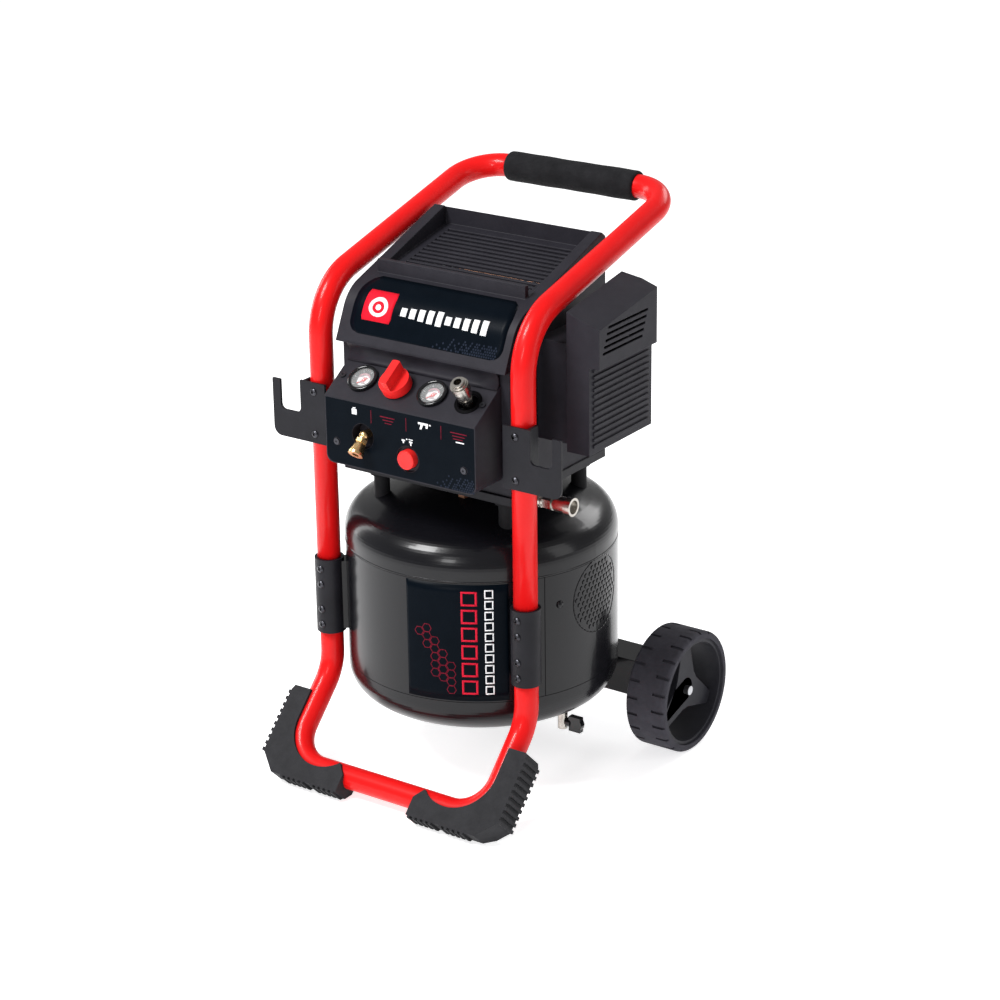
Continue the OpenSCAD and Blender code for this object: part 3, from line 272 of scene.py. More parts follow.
# %% Metals
def metal(name, dark, light, smooth, rough, grain, depth):
    alloy = Finish(name)
    fine = alloy.noise(grain, 6.0, 0.75)
    return alloy.surface({
        "Base Color": alloy.shade(alloy.noise(0.006, 4.0), dark, light),
        "Metallic": 1.0,
        "Roughness": smooth + (rough - smooth) * fine,
        "Normal": alloy.relief(fine, depth),
    })


finishes["nickel"] = metal(
    "nickel_plate", (0.36, 0.34, 0.31), (0.56, 0.53, 0.49), 0.14, 0.34, 0.0009, 0.00003)
finishes["steel"] = metal(
    "zinc_steel", (0.42, 0.43, 0.45), (0.62, 0.62, 0.64), 0.22, 0.46, 0.0008, 0.00004)
finishes["brass"] = metal(
    "turned_brass", (0.66, 0.41, 0.17), (0.86, 0.60, 0.30), 0.16, 0.38, 0.0007, 0.00003)
finishes["copper_pipe"] = metal(
    "copper_pipe", (0.24, 0.12, 0.075), (0.36, 0.19, 0.12), 0.20, 0.42, 0.001, 0.00003)
finishes["aluminium"] = metal(
    "cast_aluminium", (0.42, 0.43, 0.44), (0.60, 0.61, 0.62), 0.38, 0.62, 0.0012, 0.0001)
finishes["dark_screw"] = metal(
    "black_zinc_screw", (0.035, 0.035, 0.040), (0.07, 0.07, 0.08), 0.24, 0.42, 0.001, 0.00003)
print("finishes", len(finishes))

# %% [markdown]
# ## Print, dials and windows
# Signs are printed film: almost flat, with a faint grain. The dials are printed sheet under a clear
# window. A real window refracts, but over a flat dial it only adds reflections, so a mostly
# transparent glossy skin shows the dial without darkening it.

# %% Print and windows
def printed(name, dark, light, rough=0.42, coat=0.0):
    film = Finish(name)
    speck = film.noise(0.0012, 4.0)
    return film.surface({
        "Base Color": film.shade(film.noise(0.02, 4.0), dark, light),
        "Roughness": rough - 0.08 + 0.12 * speck,
        "Specular IOR Level": 0.03,
        "Coat Weight": coat,
        "Coat Roughness": 0.1,
        "Normal": film.relief(speck, 0.00002),
    })


def clear_window():
    window = Finish("clear_window")
    return window.surface({
        "Base Color": window.shade(window.noise(0.01), (0.80, 0.82, 0.82), (0.95, 0.96, 0.96)),
        "Roughness": 0.03 + 0.05 * window.noise(0.004),
        "Alpha": 0.13,
        "Coat Weight": 1.0,
        "Coat Roughness": 0.02,
    })


finishes["dial_face"] = printed("dial_white", (0.72, 0.71, 0.72), (0.84, 0.83, 0.84))
finishes["needle_paint"] = printed("pointer_red", (0.62, 0.03, 0.03), (0.74, 0.05, 0.05))
finishes["gauge_lens"] = clear_window()
sign_navy = printed("sign_navy", (0.0012, 0.0028, 0.0052), (0.0020, 0.0040, 0.0070), 0.34)
sign_dot = printed("sign_dot", (0.010, 0.014, 0.024), (0.016, 0.021, 0.034))
print_white = printed("print_white", (0.74, 0.75, 0.77), (0.86, 0.87, 0.88))
print_red = printed("print_red", (0.50, 0.010, 0.030), (0.60, 0.016, 0.040))
print_wine = printed("print_wine", (0.11, 0.006, 0.016), (0.19, 0.010, 0.024))
print_badge = printed("print_badge", (0.58, 0.008, 0.020), (0.68, 0.012, 0.028))
dial_black = printed("dial_black", (0.004, 0.004, 0.005), (0.008, 0.008, 0.009))
dial_pink = printed("dial_pink", (0.48, 0.22, 0.26), (0.58, 0.30, 0.34))
# Painted shade, not print: a near-black film laid in seams and recesses where shade falls.
shadow_black = printed("painted_shade_black", (0.0012, 0.0012, 0.0016), (0.0030, 0.0030, 0.0036), 0.6)
print("finishes", len(finishes), "and nine prints")

# %% [markdown]
# ## Every part gets its finish
# The record that came with the part names a finish for each of its parts. Going through that list
# once puts the right material on all of them, so nothing is left in plain grey.

# %% Finish by the record
slot_of = {part["node"]: part["material_slot"] for part in record["subparts"]}
for node, part in frame["nodes"].items():
    part.data.materials.clear()
    part.data.materials.append(finishes[slot_of[node]])
print("finished", len(slot_of), "parts")

# %% [markdown]
# ## Soft edges on a hard part
# The model's edges are perfectly sharp, and real mouldings and castings never are. A sharp edge shows
# no highlight, which is what makes a computer picture look false. This helper copies a part's mesh,
# joins its split corners, dissolves the triangles of flat faces so that each is one face again, and
# then a Bevel modifier rounds the edges by a fraction of a millimetre. The copy stands for the part.

# %% Rounded copies
def add_piece(name, mesh, finish, body="compressor"):
    piece = bpy.data.objects.new(name, mesh)
    bpy.context.scene.collection.objects.link(piece)
    mesh.materials.clear()
    mesh.materials.append(finish)
    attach(piece, body)
    return piece


def rounded_copy(node, width, segments=2, angle=32, body="compressor", finish=None):
    build = bmesh.new()
    build.from_mesh(frame["nodes"][node].data)
    bmesh.ops.remove_doubles(build, verts=build.verts, dist=0.02 * mm)
    bmesh.ops.dissolve_limit(build, angle_limit=math.radians(0.4), verts=build.verts, edges=build.edges)
    for face in build.faces:
        face.smooth = True
    mesh = bpy.data.meshes.new(node + "_rounded")
    build.to_mesh(mesh)
    build.free()
    if "custom_normal" in mesh.attributes:
        mesh.attributes.remove(mesh.attributes["custom_normal"])
    piece = add_piece(node + "_rounded", mesh, finish or finishes[slot_of[node]], body)
    bevel = piece.modifiers.new("soft edges", "BEVEL")
    bevel.width = width * mm
    bevel.segments = segments
    bevel.limit_method = "ANGLE"
    bevel.angle_limit = math.radians(angle)
    bevel.use_clamp_overlap = True
    bevel.harden_normals = True
    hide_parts(node)
    return piece


edge_widths = {
    "control_box": 1.2, "top_cover": 1.0, "side_shroud": 2.4,
    "hook_left": 0.5, "hook_right": 0.5, "base_pan": 1.6, "axle_bracket": 0.8,
    "pump_housing": 1.6, "foot_left": 0.7, "foot_right": 0.7,
}
for node, width in edge_widths.items():
    rounded_copy(node, width)
rounded_copy("regulator_knob", 0.9, 3, body="regulator_knob")
rounded_copy("power_button", 1.6, 4, body="power_button")
rounded_copy("rim_left", 0.7, body="wheel_left")
rounded_copy("rim_right", 0.7, body="wheel_right")
rounded_copy("drain_knob", 0.5, body="drain_knob")
print("rounded", len(edge_widths) + 5, "parts")

# %% [markdown]
# ## Bent tubes
# The frame is made of steel tube bent round formers, so its surface runs on without a step. A tube
# could be a curve with a round profile. Here the path is worked out first: corners joined by arcs of
# the bending radius. Rings of points are then set square to the path and joined with four-sided faces.

# %% Tube helpers
def bent_path(corners, radii, turn=4.0):
    """Points along straight lines through the corners, each corner rounded to its radius."""
    path = [Vector(corners[0])]
    for i in range(1, len(corners) - 1):
        corner = Vector(corners[i])
        before = (Vector(corners[i - 1]) - corner).normalized()
        after = (Vector(corners[i + 1]) - corner).normalized()
        half = before.angle(after) / 2
        reach = radii[i - 1] / math.tan(half)
        centre = corner + (before + after).normalized() * radii[i - 1] / math.sin(half)
        start = corner + before * reach - centre
        end = corner + after * reach - centre
        steps = max(2, round(math.degrees(math.pi - 2 * half) / turn))
        for k in range(steps + 1):
            path.append(centre + radii[i - 1] * start.normalized().slerp(end.normalized(), k / steps))
    path.append(Vector(corners[-1]))
    return path


def sweep(name, path, radius, sides=40):
    """A closed tube mesh of this radius along the path."""
    build = bmesh.new()
    rings = []
    side = None
    for i, point in enumerate(path):
        ahead = (path[min(i + 1, len(path) - 1)] - path[max(i - 1, 0)]).normalized()
        if side is None:
            side = ahead.orthogonal().normalized()
        side = (side - ahead * side.dot(ahead)).normalized()
        up = ahead.cross(side)
        ring = []
        for k in range(sides):
            a = math.tau * k / sides
            ring.append(build.verts.new(point + radius * (math.cos(a) * side + math.sin(a) * up)))
        rings.append(ring)
    for first, second in zip(rings, rings[1:]):
        for k in range(sides):
            build.faces.new((first[k], first[(k + 1) % sides], second[(k + 1) % sides], second[k]))
    for face in build.faces:
        face.smooth = True
    build.faces.new(reversed(rings[0]))
    build.faces.new(rings[-1])
    bmesh.ops.recalc_face_normals(build, faces=build.faces)
    mesh = bpy.data.meshes.new(name)
    build.to_mesh(mesh)
    build.free()
    return mesh


frame_low, frame_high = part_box("upper_frame")
tube_r = 15 * mm
half_frame = frame_high.x - tube_r - 0.2 * mm
tube_y = frame_low.y + tube_r + 0.2 * mm
print("tube plane at", round(tube_y / mm, 1), "half width", round(half_frame / mm, 1))

# %% [markdown]
# ## The red frame
# Two tubes make the frame. The upper one rises from the joints, leans back over the covers and closes
# in the handle. The lower one runs from the joints to the floor bar between the feet. Their bends are
# the driving dimensions of the part, repeated here in metres.

# %% Upper and lower tube
joint_z = 222 * mm
shoulder_z = 624 * mm
handle_reach = 336 * mm
handle_rise = handle_reach * math.tan(math.radians(14.7))
leg_z = 120 * mm
bar_z = 25 * mm
leg_reach = (leg_z - bar_z) / math.tan(math.radians(45.5))


def mirror_path(points):
    """The points, and then their mirror images back to the start."""
    return points + [(-x, y, z) for x, y, z in reversed(points)]


upper_corners = mirror_path([
    (-half_frame, tube_y, joint_z + 1 * mm),
    (-half_frame, tube_y, shoulder_z),
    (-half_frame, tube_y + handle_reach, shoulder_z + handle_rise),
])
upper_path = bent_path(upper_corners, [78 * mm, 53 * mm, 53 * mm, 78 * mm])
upper_mesh = sweep("upper_frame_tube", upper_path, tube_r)
upper_tube = add_piece("upper_frame_tube", upper_mesh, finishes["red_paint"])
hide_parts("upper_frame")
lower_corners = mirror_path([
    (-half_frame, tube_y, joint_z - 1 * mm),
    (-half_frame, tube_y, leg_z),
    (-half_frame, tube_y - leg_reach, bar_z),
])
lower_path = bent_path(lower_corners, [60 * mm, 50 * mm, 50 * mm, 60 * mm])
lower_mesh = sweep("lower_frame_tube", lower_path, tube_r)
lower_tube = add_piece("lower_frame_tube", lower_mesh, finishes["red_paint"])
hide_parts("lower_frame")
print("path points", len(upper_path), len(lower_path))

# %% [markdown]
# ## Turned shapes
# Bottles, rings and caps are all a profile turned round an axis. A lathe helper takes pairs of radius
# and height, and turns them round the local Z axis. A matrix then stands the result where it belongs.

# %% Lathe helper
def lathe(name, profile, matrix, steps=64, sharp=35):
    """A closed mesh from (radius, height) pairs turned round Z, then moved by the matrix."""
    build = bmesh.new()
    rings = []
    for radius, height in profile:
        if radius < 1e-9:
            rings.append([build.verts.new((0, 0, height))])
            continue
        turns = [math.tau * k / steps for k in range(steps)]
        rings.append([build.verts.new((radius * math.cos(a), radius * math.sin(a), height)) for a in turns])
    for first, second in zip(rings, rings[1:]):
        for k in range(steps):
            n = (k + 1) % steps
            if len(first) == 1:
                build.faces.new((first[0], second[n], second[k]))
            elif len(second) == 1:
                build.faces.new((first[k], first[n], second[0]))
            else:
                build.faces.new((first[k], first[n], second[n], second[k]))
    bmesh.ops.remove_doubles(build, verts=build.verts, dist=1e-7)
    bmesh.ops.recalc_face_normals(build, faces=build.faces)
    for face in build.faces:
        face.smooth = True
    for edge in build.edges:
        edge.smooth = edge.calc_face_angle(0) < math.radians(sharp)
    bmesh.ops.transform(build, matrix=matrix, verts=build.verts)
    mesh = bpy.data.meshes.new(name)
    build.to_mesh(mesh)
    build.free()
    return mesh


def stand(origin, normal, up=(0, 0, 1)):
    """A matrix that puts local Z along the normal at the origin, and local Y towards up."""
    z = Vector(normal).normalized()
    x = Vector(up).cross(z).normalized()
    y = z.cross(x)
    return Matrix((
        (x.x, y.x, z.x, origin[0]),
        (x.y, y.y, z.y, origin[1]),
        (x.z, y.z, z.z, origin[2]),
        (0, 0, 0, 1),
    ))


print("lathe ready")

# %% [markdown]
# ## The foam grip
# The grip is a sleeve of foam pushed over the tube. Foam is soft: its ends are rolled in, and it is a
# little thicker and thinner along its length where hands and the tube squeeze it. The profile is
# turned round the handle's bar, with a slow wave in its radius.

# %% Foam grip
grip_low, grip_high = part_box("handle_grip")
grip_middle = (grip_low + grip_high) / 2
grip_half = (grip_high.x - grip_low.x) / 2
grip_r = (grip_high.z - grip_low.z) / 2
grip_profile = [(tube_r + 0.4 * mm, -grip_half), (grip_r - 4 * mm, -grip_half)]
for k in range(7):
    a = math.radians(15 * k)
    grip_profile.append((grip_r - 4 * mm + 3.6 * mm * math.sin(a), -grip_half + 3.6 * mm * (1 - math.cos(a))))
for k in range(1, 24):
    t = k / 24
    wave = 0.35 * mm * (math.sin(9 * t) + math.sin(23 * t + 1)) / 2
    grip_profile.append((grip_r - 0.4 * mm + wave, (2 * t - 1) * (grip_half - 4 * mm)))
for k in range(7):
    a = math.radians(90 - 15 * k)
    grip_profile.append((grip_r - 4 * mm + 3.6 * mm * math.sin(a), grip_half - 3.6 * mm * (1 - math.cos(a))))
grip_profile += [(grip_r - 4 * mm, grip_half), (tube_r + 0.4 * mm, grip_half), grip_profile[0]]
grip_mesh = lathe("foam_grip", grip_profile, stand(grip_middle, (1, 0, 0)), 48)
grip = add_piece("foam_grip", grip_mesh, finishes["grip_foam"])
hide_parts("handle_grip")
print("grip length in mm", round(2 * grip_half / mm))

# %% [markdown]
# ## Printing on a surface
# A sign, a label or a dial mark is a very thin film that follows the surface under it. It could be an
# image on the surface, but then it would have no edge and would blur up close. Here it is a slab over
# a grid of points. A place function says where a point of the flat drawing lies on the object. The
# slab is closed with sides, and with an underside just below the surface.

# %% Slabs that follow a surface
film_top = 0.15 * mm
film_under = -0.25 * mm


def slab(build, grid, place, top, under):
    """A closed slab over rows of (across, up) points."""
    rims = []
    for lift in (top, under):
        side = [[build.verts.new(place(u, v, lift)) for u, v in line] for line in grid]
        for low, high in zip(side, side[1:]):
            for k in range(len(low) - 1):
                face = build.faces.new((low[k], low[k + 1], high[k + 1], high[k]))
                face.smooth = True
        left_rim = [row[0] for row in side]
        right_rim = [row[-1] for row in side]
        rims.append(side[0] + right_rim[1:] + side[-1][-2::-1] + left_rim[-2:0:-1])
    above, below = rims
    for k in range(len(above)):
        n = (k + 1) % len(above)
        build.faces.new((above[k], above[n], below[n], below[k]))


def film_piece(name, build, finish, body):
    """The finished films of one build, as a piece of the object."""
    bmesh.ops.recalc_face_normals(build, faces=build.faces)
    mesh = bpy.data.meshes.new(name)
    build.to_mesh(mesh)
    build.free()
    return add_piece(name, mesh, finish, body)


print("a film stands", film_top / mm, "mm proud")

# %% [markdown]
# ## Two ways to draw a film
# One helper takes small shapes as loops of points, the other a large shape as rows, so that it can
# bend. On a curved surface a flat quad would sink in, so quads are split into smaller ones first.

# %% Film helpers
def quad_grid(loop, step):
    """Rows of points over a four-cornered shape, no further apart than step."""
    a, b, c, d = [Vector(point) for point in loop]
    columns = max(1, math.ceil(max((b - a).length, (c - d).length) / step))
    rows = max(1, math.ceil(max((d - a).length, (c - b).length) / step))
    grid = []
    for j in range(rows + 1):
        left = a.lerp(d, j / rows)
        right = b.lerp(c, j / rows)
        grid.append([left.lerp(right, i / columns) for i in range(columns + 1)])
    return grid


def print_shapes(
        name, loops, place, finish, body="compressor", top=film_top, under=film_under, step=1.0):
    """One thin closed slab for every loop of (across, up) points; quads are split to step metres."""
    build = bmesh.new()
    for loop in loops:
        if len(loop) == 4:
            slab(build, quad_grid(loop, step), place, top, under)
            continue
        upper = [build.verts.new(place(u, v, top)) for u, v in loop]
        lower = [build.verts.new(place(u, v, under)) for u, v in loop]
        build.faces.new(upper)
        build.faces.new(reversed(lower))
        for k in range(len(loop)):
            n = (k + 1) % len(loop)
            build.faces.new((upper[n], upper[k], lower[k], lower[n]))
    return film_piece(name, build, finish, body)


def print_rows(
        name, rows, columns, place, finish, body="compressor", top=film_top, under=film_under):
    """A large film from rows of (up, left, right), with this many columns."""
    build = bmesh.new()
    grid = []
    for v, left, right in rows:
        grid.append([(left + (right - left) * k / columns, v) for k in range(columns + 1)])
    slab(build, grid, place, top, under)
    return film_piece(name, build, finish, body)


print("film helpers ready")

# %% [markdown]
# ## Shapes for the drawings
# The drawings need few shapes: rectangles, sheets with rounded corners, polygons, outlines and a
# honeycomb. Each is worked out by a short function, in metres across and up.

# %% Drawing helpers
def rounded_rows(left, low, right, high, corner, count):
    """Rows of a rectangle with rounded corners."""
    rows = []
    for k in range(count + 1):
        v = low + (high - low) * k / count
        near = min(v - low, high - v)
        inset = corner - math.sqrt(max(0, corner ** 2 - max(0, corner - near) ** 2))
        rows.append((v, left + inset, right - inset))
    return rows


def box_loop(left, low, right, high):
    return [(left, low), (right, low), (right, high), (left, high)]


def polygon(x, y, r, corners=6, turn=0.0):
    angles = [turn + math.tau * k / corners for k in range(corners)]
    return [(x + r * math.cos(a), y + r * math.sin(a)) for a in angles]


def outline(loop, x, y, share):
    """The quads between a loop and the same loop drawn smaller about (x, y)."""
    quads = []
    for k, (a, b) in enumerate(loop):
        c, d = loop[(k + 1) % len(loop)]
        inner_a = (x + (a - x) * share, y + (b - y) * share)
        inner_c = (x + (c - x) * share, y + (d - y) * share)
        quads.append([(a, b), (c, d), inner_c, inner_a])
    return quads


def honeycomb(left, low, right, high, pitch, r, keep):
    """Small hexagons on a honeycomb, where keep(share across, share up) allows."""
    loops = []
    rows = int((high - low) / (pitch * 0.866))
    for j in range(rows + 1):
        shift = pitch / 2 if j % 2 else 0
        for i in range(int((right - left - shift) / pitch) + 1):
            x = left + shift + i * pitch
            y = low + j * pitch * 0.866
            if keep((x - left) / (right - left), (y - low) / (high - low), i, j):
                loops.append(polygon(x, y, r, 6, math.pi / 6))
    return loops


print("drawing helpers ready")

# %% [markdown]
# ## Weld seams of the tank
# A tank is a rolled wall and two pressed heads. The upper head's weld shows as a fine raised line that
# catches the light, with a thin ring of painted shadow under it. The lower weld's groove is drawn as a
# thin ring of painted shade, and the wall itself closes in one upright seam on the side, drawn as a strip
# of painted shade. Thin turned rings and one strip draw them.

# %% Tank seams
wall_low, wall_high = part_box("tank_wall")
tank_x = (wall_low.x + wall_high.x) / 2
tank_y = (wall_low.y + wall_high.y) / 2
tank_r = (wall_high.x - wall_low.x) / 2


def on_tank(angle, z, lift):
    """A point on the wall: degrees from the front towards the right, height, distance out."""
    a = math.radians(angle)
    r = tank_r + lift
    return Vector((tank_x + r * math.sin(a), tank_y - r * math.cos(a), z))


def seam_ring(name, z, out, half, finish):
    profile = [(tank_r - 0.4 * mm, z - half), (tank_r + out, z - half / 2), (tank_r + out, z + half / 2)]
    profile += [(tank_r - 0.4 * mm, z + half), profile[0]]
    matrix = Matrix.Translation((tank_x, tank_y, 0))
    return add_piece(name, lathe(name, profile, matrix, 160, 80), finish)


seam_low_z = wall_low.z
seam_high_z = wall_high.z
seam_ring("seam_upper", seam_high_z, 0.45 * mm, 1.3 * mm, finishes["black_gloss_paint"])
# Painted shadow: a dark ring just under the raised bead.
seam_ring("seam_upper_shadow", seam_high_z - 1.6 * mm, 0.06 * mm, 0.5 * mm, shadow_black)
# Painted shade: a dark ring where the lower weld's groove lies.
seam_ring("seam_lower_shade", seam_low_z, 0.06 * mm, 0.7 * mm, shadow_black)
seam_angle = 61.45
seam_width = 0.3
seam_left = seam_angle - seam_width / 2
seam_right = seam_angle + seam_width / 2
seam_rows = [(seam_low_z + (seam_high_z - seam_low_z) * k / 8, seam_left, seam_right) for k in range(9)]
# Painted shade: the upright seam is a dark strip in shadow_black.
print_rows("seam_upright_shade", seam_rows, 1, on_tank, shadow_black, top=0.06 * mm)
print("tank radius", round(tank_r / mm, 1), "seams at", round(seam_low_z / mm, 1), round(seam_high_z / mm, 1))

# %% [markdown]
# ## The tank's label
# A dark blue label is wrapped round the front of the tank, with a cluster of red hexagon outlines and
# two upright rows of print. The rows here are plain bars of its colours, in place of words. The label
# is drawn in degrees round the tank and metres of height.

# %% Label
label_low = 141 * mm
label_high = 296 * mm
label_left = 3.0
label_right = 46.0
label_rows = [(label_low + (label_high - label_low) * k / 12, label_left, label_right) for k in range(13)]
print_rows("tank_label", label_rows, 44, on_tank, sign_navy, top=0.12 * mm)
degree = tank_r * math.pi / 180


def on_label(u, v, lift):
    """A point of the label: metres across from its left edge, and metres of height."""
    return on_tank(label_left + u / degree, v, lift)


hexagons = []
hex_r = 6.4 * mm
hex_across = 10.2 * mm
hex_up = 10.6 * mm
columns = [(0, 6, 7), (1, 4, 7), (2, 1, 6), (3, 0, 4), (4, -1, 3)]
for column, low, high in columns:
    for j in range(low, high):
        x = 17 * mm + column * hex_across
        z = 166 * mm + (j + 0.5 * (column % 2)) * hex_up
        loop = polygon(x, z, hex_r, 6)
        hexagons += outline(loop, x, z, 0.84)
print_shapes("label_hexagons", hexagons, on_label, print_wine, top=0.2 * mm, step=4 * mm)
row_low = 150 * mm


def outlined_row(left, right, count, pitch, height, share):
    """Outlines of boxes in an upright row, pitch apart."""
    quads = []
    for k in range(count):
        low = row_low + pitch * k
        shape = box_loop(left, low, right, low + height)
        quads += outline(shape, (left + right) / 2, low + height / 2, share)
    return quads


bars = outlined_row(71 * mm, 91 * mm, 6, 23.6 * mm, 19 * mm, 0.74)
print_shapes("label_red_row", bars, on_label, print_red, top=0.2 * mm, step=4 * mm)
thin = outlined_row(100 * mm, 111 * mm, 10, 14.2 * mm, 11.4 * mm, 0.72)
print_shapes("label_white_row", thin, on_label, print_white, top=0.2 * mm, step=4 * mm)
print("label marks", len(hexagons) + len(bars) + len(thin))

# %% [markdown]
# ## The dimpled patch
# On its right side the wall has a round pressed patch of small dimples, and a little nub in front of
# it. Each dimple is a low six-sided stud. A real press would push them from inside.

# %% Dimpled patch
patch_angle = 92.0
patch_z = 250 * mm


def on_patch(u, v, lift):
    return on_tank(patch_angle + u / degree, patch_z + v, lift)


def inside_patch(u, v, i, j):
    return math.hypot(u - 0.5, v - 0.5) < 0.47


studs = honeycomb(-47 * mm, -46 * mm, 47 * mm, 46 * mm, 8.2 * mm, 3.3 * mm, inside_patch)
gloss = finishes["black_gloss_paint"]
print_shapes("patch_studs", studs, on_patch, gloss, top=0.9 * mm)
ring = outline(polygon(0, 0, 50 * mm, 48), 0, 0, 0.975)
print_shapes("patch_rim", ring, on_patch, gloss, top=0.45 * mm)
nub_angle = 68.5
nub_z = 257 * mm
nub_at = on_tank(nub_angle, nub_z, -0.5 * mm)
nub_profile = [(0, -1 * mm), (5 * mm, -1 * mm), (5 * mm, 0.8 * mm)]
nub_profile += [(3.6 * mm, 3 * mm), (1.4 * mm, 4 * mm), (0, 4 * mm)]
nub_normal = nub_at - Vector((tank_x, tank_y, nub_at.z))
nub_mesh = lathe("tank_nub", nub_profile, stand(nub_at, nub_normal), 24)
add_piece("tank_nub", nub_mesh, gloss)
print("studs", len(studs))

# %% [markdown]
# ## The sign on the cover
# The curved front of the cover carries a broad dark blue sign. To lay it on, a ray is sent from in
# front at each point of the drawing, and where it meets the cover the film is lifted along the
# surface's normal. The badge and the level bars are plain shapes in red and white.

# %% Cover sign
def surface_of(node):
    data = frame["nodes"][node].data
    return BVHTree.FromPolygons([v.co for v in data.vertices], [list(p.vertices) for p in data.polygons])


cover_surface = surface_of("top_cover")
in_front = -400 * mm


def on_cover(x, z, lift):
    hit, normal = cover_surface.ray_cast(Vector((x, in_front, z)), Vector((0, 1, 0)))[:2]
    return hit + normal * lift


sign_low = 576 * mm
sign_high = 634 * mm
badge_z = 608 * mm
badge_x = -74 * mm
badge_half = 22 * mm
slope_share = 0.75
sign_rows = rounded_rows(-111 * mm, sign_low, 116 * mm, sign_high, 15 * mm, 24)
print_rows("cover_sign", sign_rows, 24, on_cover, sign_navy, top=0.25 * mm)
badge_rows = rounded_rows(
    badge_x - badge_half, badge_z - 16 * mm, badge_x + badge_half, badge_z + 16 * mm, 1.5 * mm, 8)
print_rows("cover_badge", badge_rows, 8, on_cover, print_badge, top=0.4 * mm)


def on_badge(u, v, lift):
    """The badge's shapes: metres across, and metres up the slope of the sign."""
    return on_cover(u, badge_z + slope_share * v, lift)


ring = outline(polygon(badge_x, 0, 14 * mm, 32), badge_x, 0, 0.62)
ring.append(polygon(badge_x, 0, 4 * mm, 20))
print_shapes("badge_ring", ring, on_badge, print_white, top=0.6 * mm, under=0.1 * mm, step=3 * mm)
level = []
for k in range(10):
    left = (-40 + 13.2 * k) * mm
    half = (6 + 1.1 * (k % 5)) * mm
    level.append([(left, -half), (left + 8.6 * mm, -half), (left + 8.6 * mm, half), (left, half)])
print_shapes(
    "cover_level_bars", level, on_badge, print_white, top=0.45 * mm, under=0.1 * mm, step=3 * mm)


def fade_left(u, v, i, j):
    """Keeps more of the dots towards the lower right."""
    return (i * 7 + j * 13) % 11 < 14 * u - 5 * v


dots = honeycomb(0, 578 * mm, 108 * mm, 591 * mm, 3.4 * mm, 1.35 * mm, fade_left)
print_shapes("cover_dots", dots, on_cover, sign_dot, top=0.35 * mm, under=0.1 * mm)
print("sign bars", len(level), "dots", len(dots))

# %% [markdown]
# ## The cove under the cover
# Between the cover's front edge and the ledge with the gauges runs a smooth hollow band. It is a
# slab over rows of points, whose place function follows a curve bent towards the inside.

# %% Cove band
cove_points = [Vector((0, -116, 565)), Vector((0, -101, 551)), Vector((0, -112, 540))]


def on_cove(x, share, lift):
    """A point of the band: metres across, share of the way down, and lift towards the front."""
    first, middle, last = cove_points
    point = first.lerp(middle, share).lerp(middle.lerp(last, share), share) * mm
    return Vector((x, point.y - lift, point.z))


cove_rows = [(k / 8, -111 * mm, 111 * mm) for k in range(9)]
print_rows(
    "cove_band", cove_rows, 6, on_cove, finishes["cover_plastic"], top=0.8 * mm, under=-0.8 * mm)
print("cove band", len(cove_rows), "rows")

# %% [markdown]
# ## The control panel's sign
# The front of the control box is covered by a sign with holes for the outlet, the button and two
# screws. A flat shape with holes is easiest as a 2D curve: closed lines inside a closed line are cut
# out by the fill. The curve is then turned into a mesh, so that it exports like the rest.

# %% Panel sign
def flat_sheet(name, loops, thickness, matrix, finish, body="compressor"):
    """A flat slab from closed (x, y) lines: a line inside another is a hole."""
    drawing = bpy.data.curves.new(name + "_lines", "CURVE")
    drawing.dimensions = "2D"
    drawing.fill_mode = "BOTH"
    drawing.extrude = thickness / 2
    for loop in loops:
        line = drawing.splines.new("POLY")
        line.points.add(len(loop) - 1)
        for point, (x, y) in zip(line.points, loop):
            point.co = (x, y, 0, 1)
        line.use_cyclic_u = True
    holder = bpy.data.objects.new(name + "_lines", drawing)
    bpy.context.scene.collection.objects.link(holder)
    bpy.context.view_layer.update()
    evaluated = holder.evaluated_get(bpy.context.evaluated_depsgraph_get())
    mesh = bpy.data.meshes.new_from_object(evaluated)
    mesh.name = name
    bpy.data.objects.remove(holder)
    mesh.transform(matrix @ Matrix.Translation((0, 0, thickness / 2)))
    build = bmesh.new()
    build.from_mesh(mesh)
    bmesh.ops.remove_doubles(build, verts=build.verts, dist=1e-6)
    bmesh.ops.recalc_face_normals(build, faces=build.faces)
    build.to_mesh(mesh)
    build.free()
    return add_piece(name, mesh, finish, body)


box_low, box_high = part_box("control_box")
panel_y = box_low.y
panel_z = box_low.z
panel_half = (box_high.x - box_low.x) / 2
outlet_low, outlet_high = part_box("tank_outlet")
button_low, button_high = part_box("power_button")
button_x = (button_low.x + button_high.x) / 2
button_z = (button_low.z + button_high.z) / 2
outlet_x = (outlet_low.x + outlet_high.x) / 2
outlet_z = panel_z + 43 * mm
panel_top = 84 * mm
panel_plane = stand((0, panel_y, panel_z), (0, -1, 0))
corner = 10 * mm
margin = 1.5 * mm
screw_x = 95 * mm
screw_up = 29 * mm
panel_outline = [(panel_half - margin, panel_top), (-panel_half + margin, panel_top)]
for side in (-1, 1):
    for k in range(9):
        a = math.radians(180 + 90 * k / 8 if side < 0 else 270 + 90 * k / 8)
        x = side * (panel_half - margin - corner) + corner * math.cos(a)
        panel_outline.append((x, margin + corner + corner * math.sin(a)))
panel_loops = [
    panel_outline,
    polygon(outlet_x, outlet_z - panel_z, 16.6 * mm, 48),
    polygon(button_x, button_z - panel_z, 17.1 * mm, 48),
    polygon(-screw_x, screw_up, 5.2 * mm, 24),
    polygon(screw_x, screw_up, 5.2 * mm, 24),
]
flat_sheet("panel_sign", panel_loops, 0.2 * mm, panel_plane, sign_navy)
print("panel", round(2 * panel_half / mm), "mm wide")

# %% [markdown]
# ## Marks on the panel
# Small pictures say what each fitting is for: a tank beside its outlet, a spray gun under the working
# pressure, red lines between the groups, and a honeycomb that fades in towards the corner.

# %% Panel marks
def on_panel(x, z, lift):
    return Vector((x * mm, panel_y - 0.2 * mm - lift, z * mm))


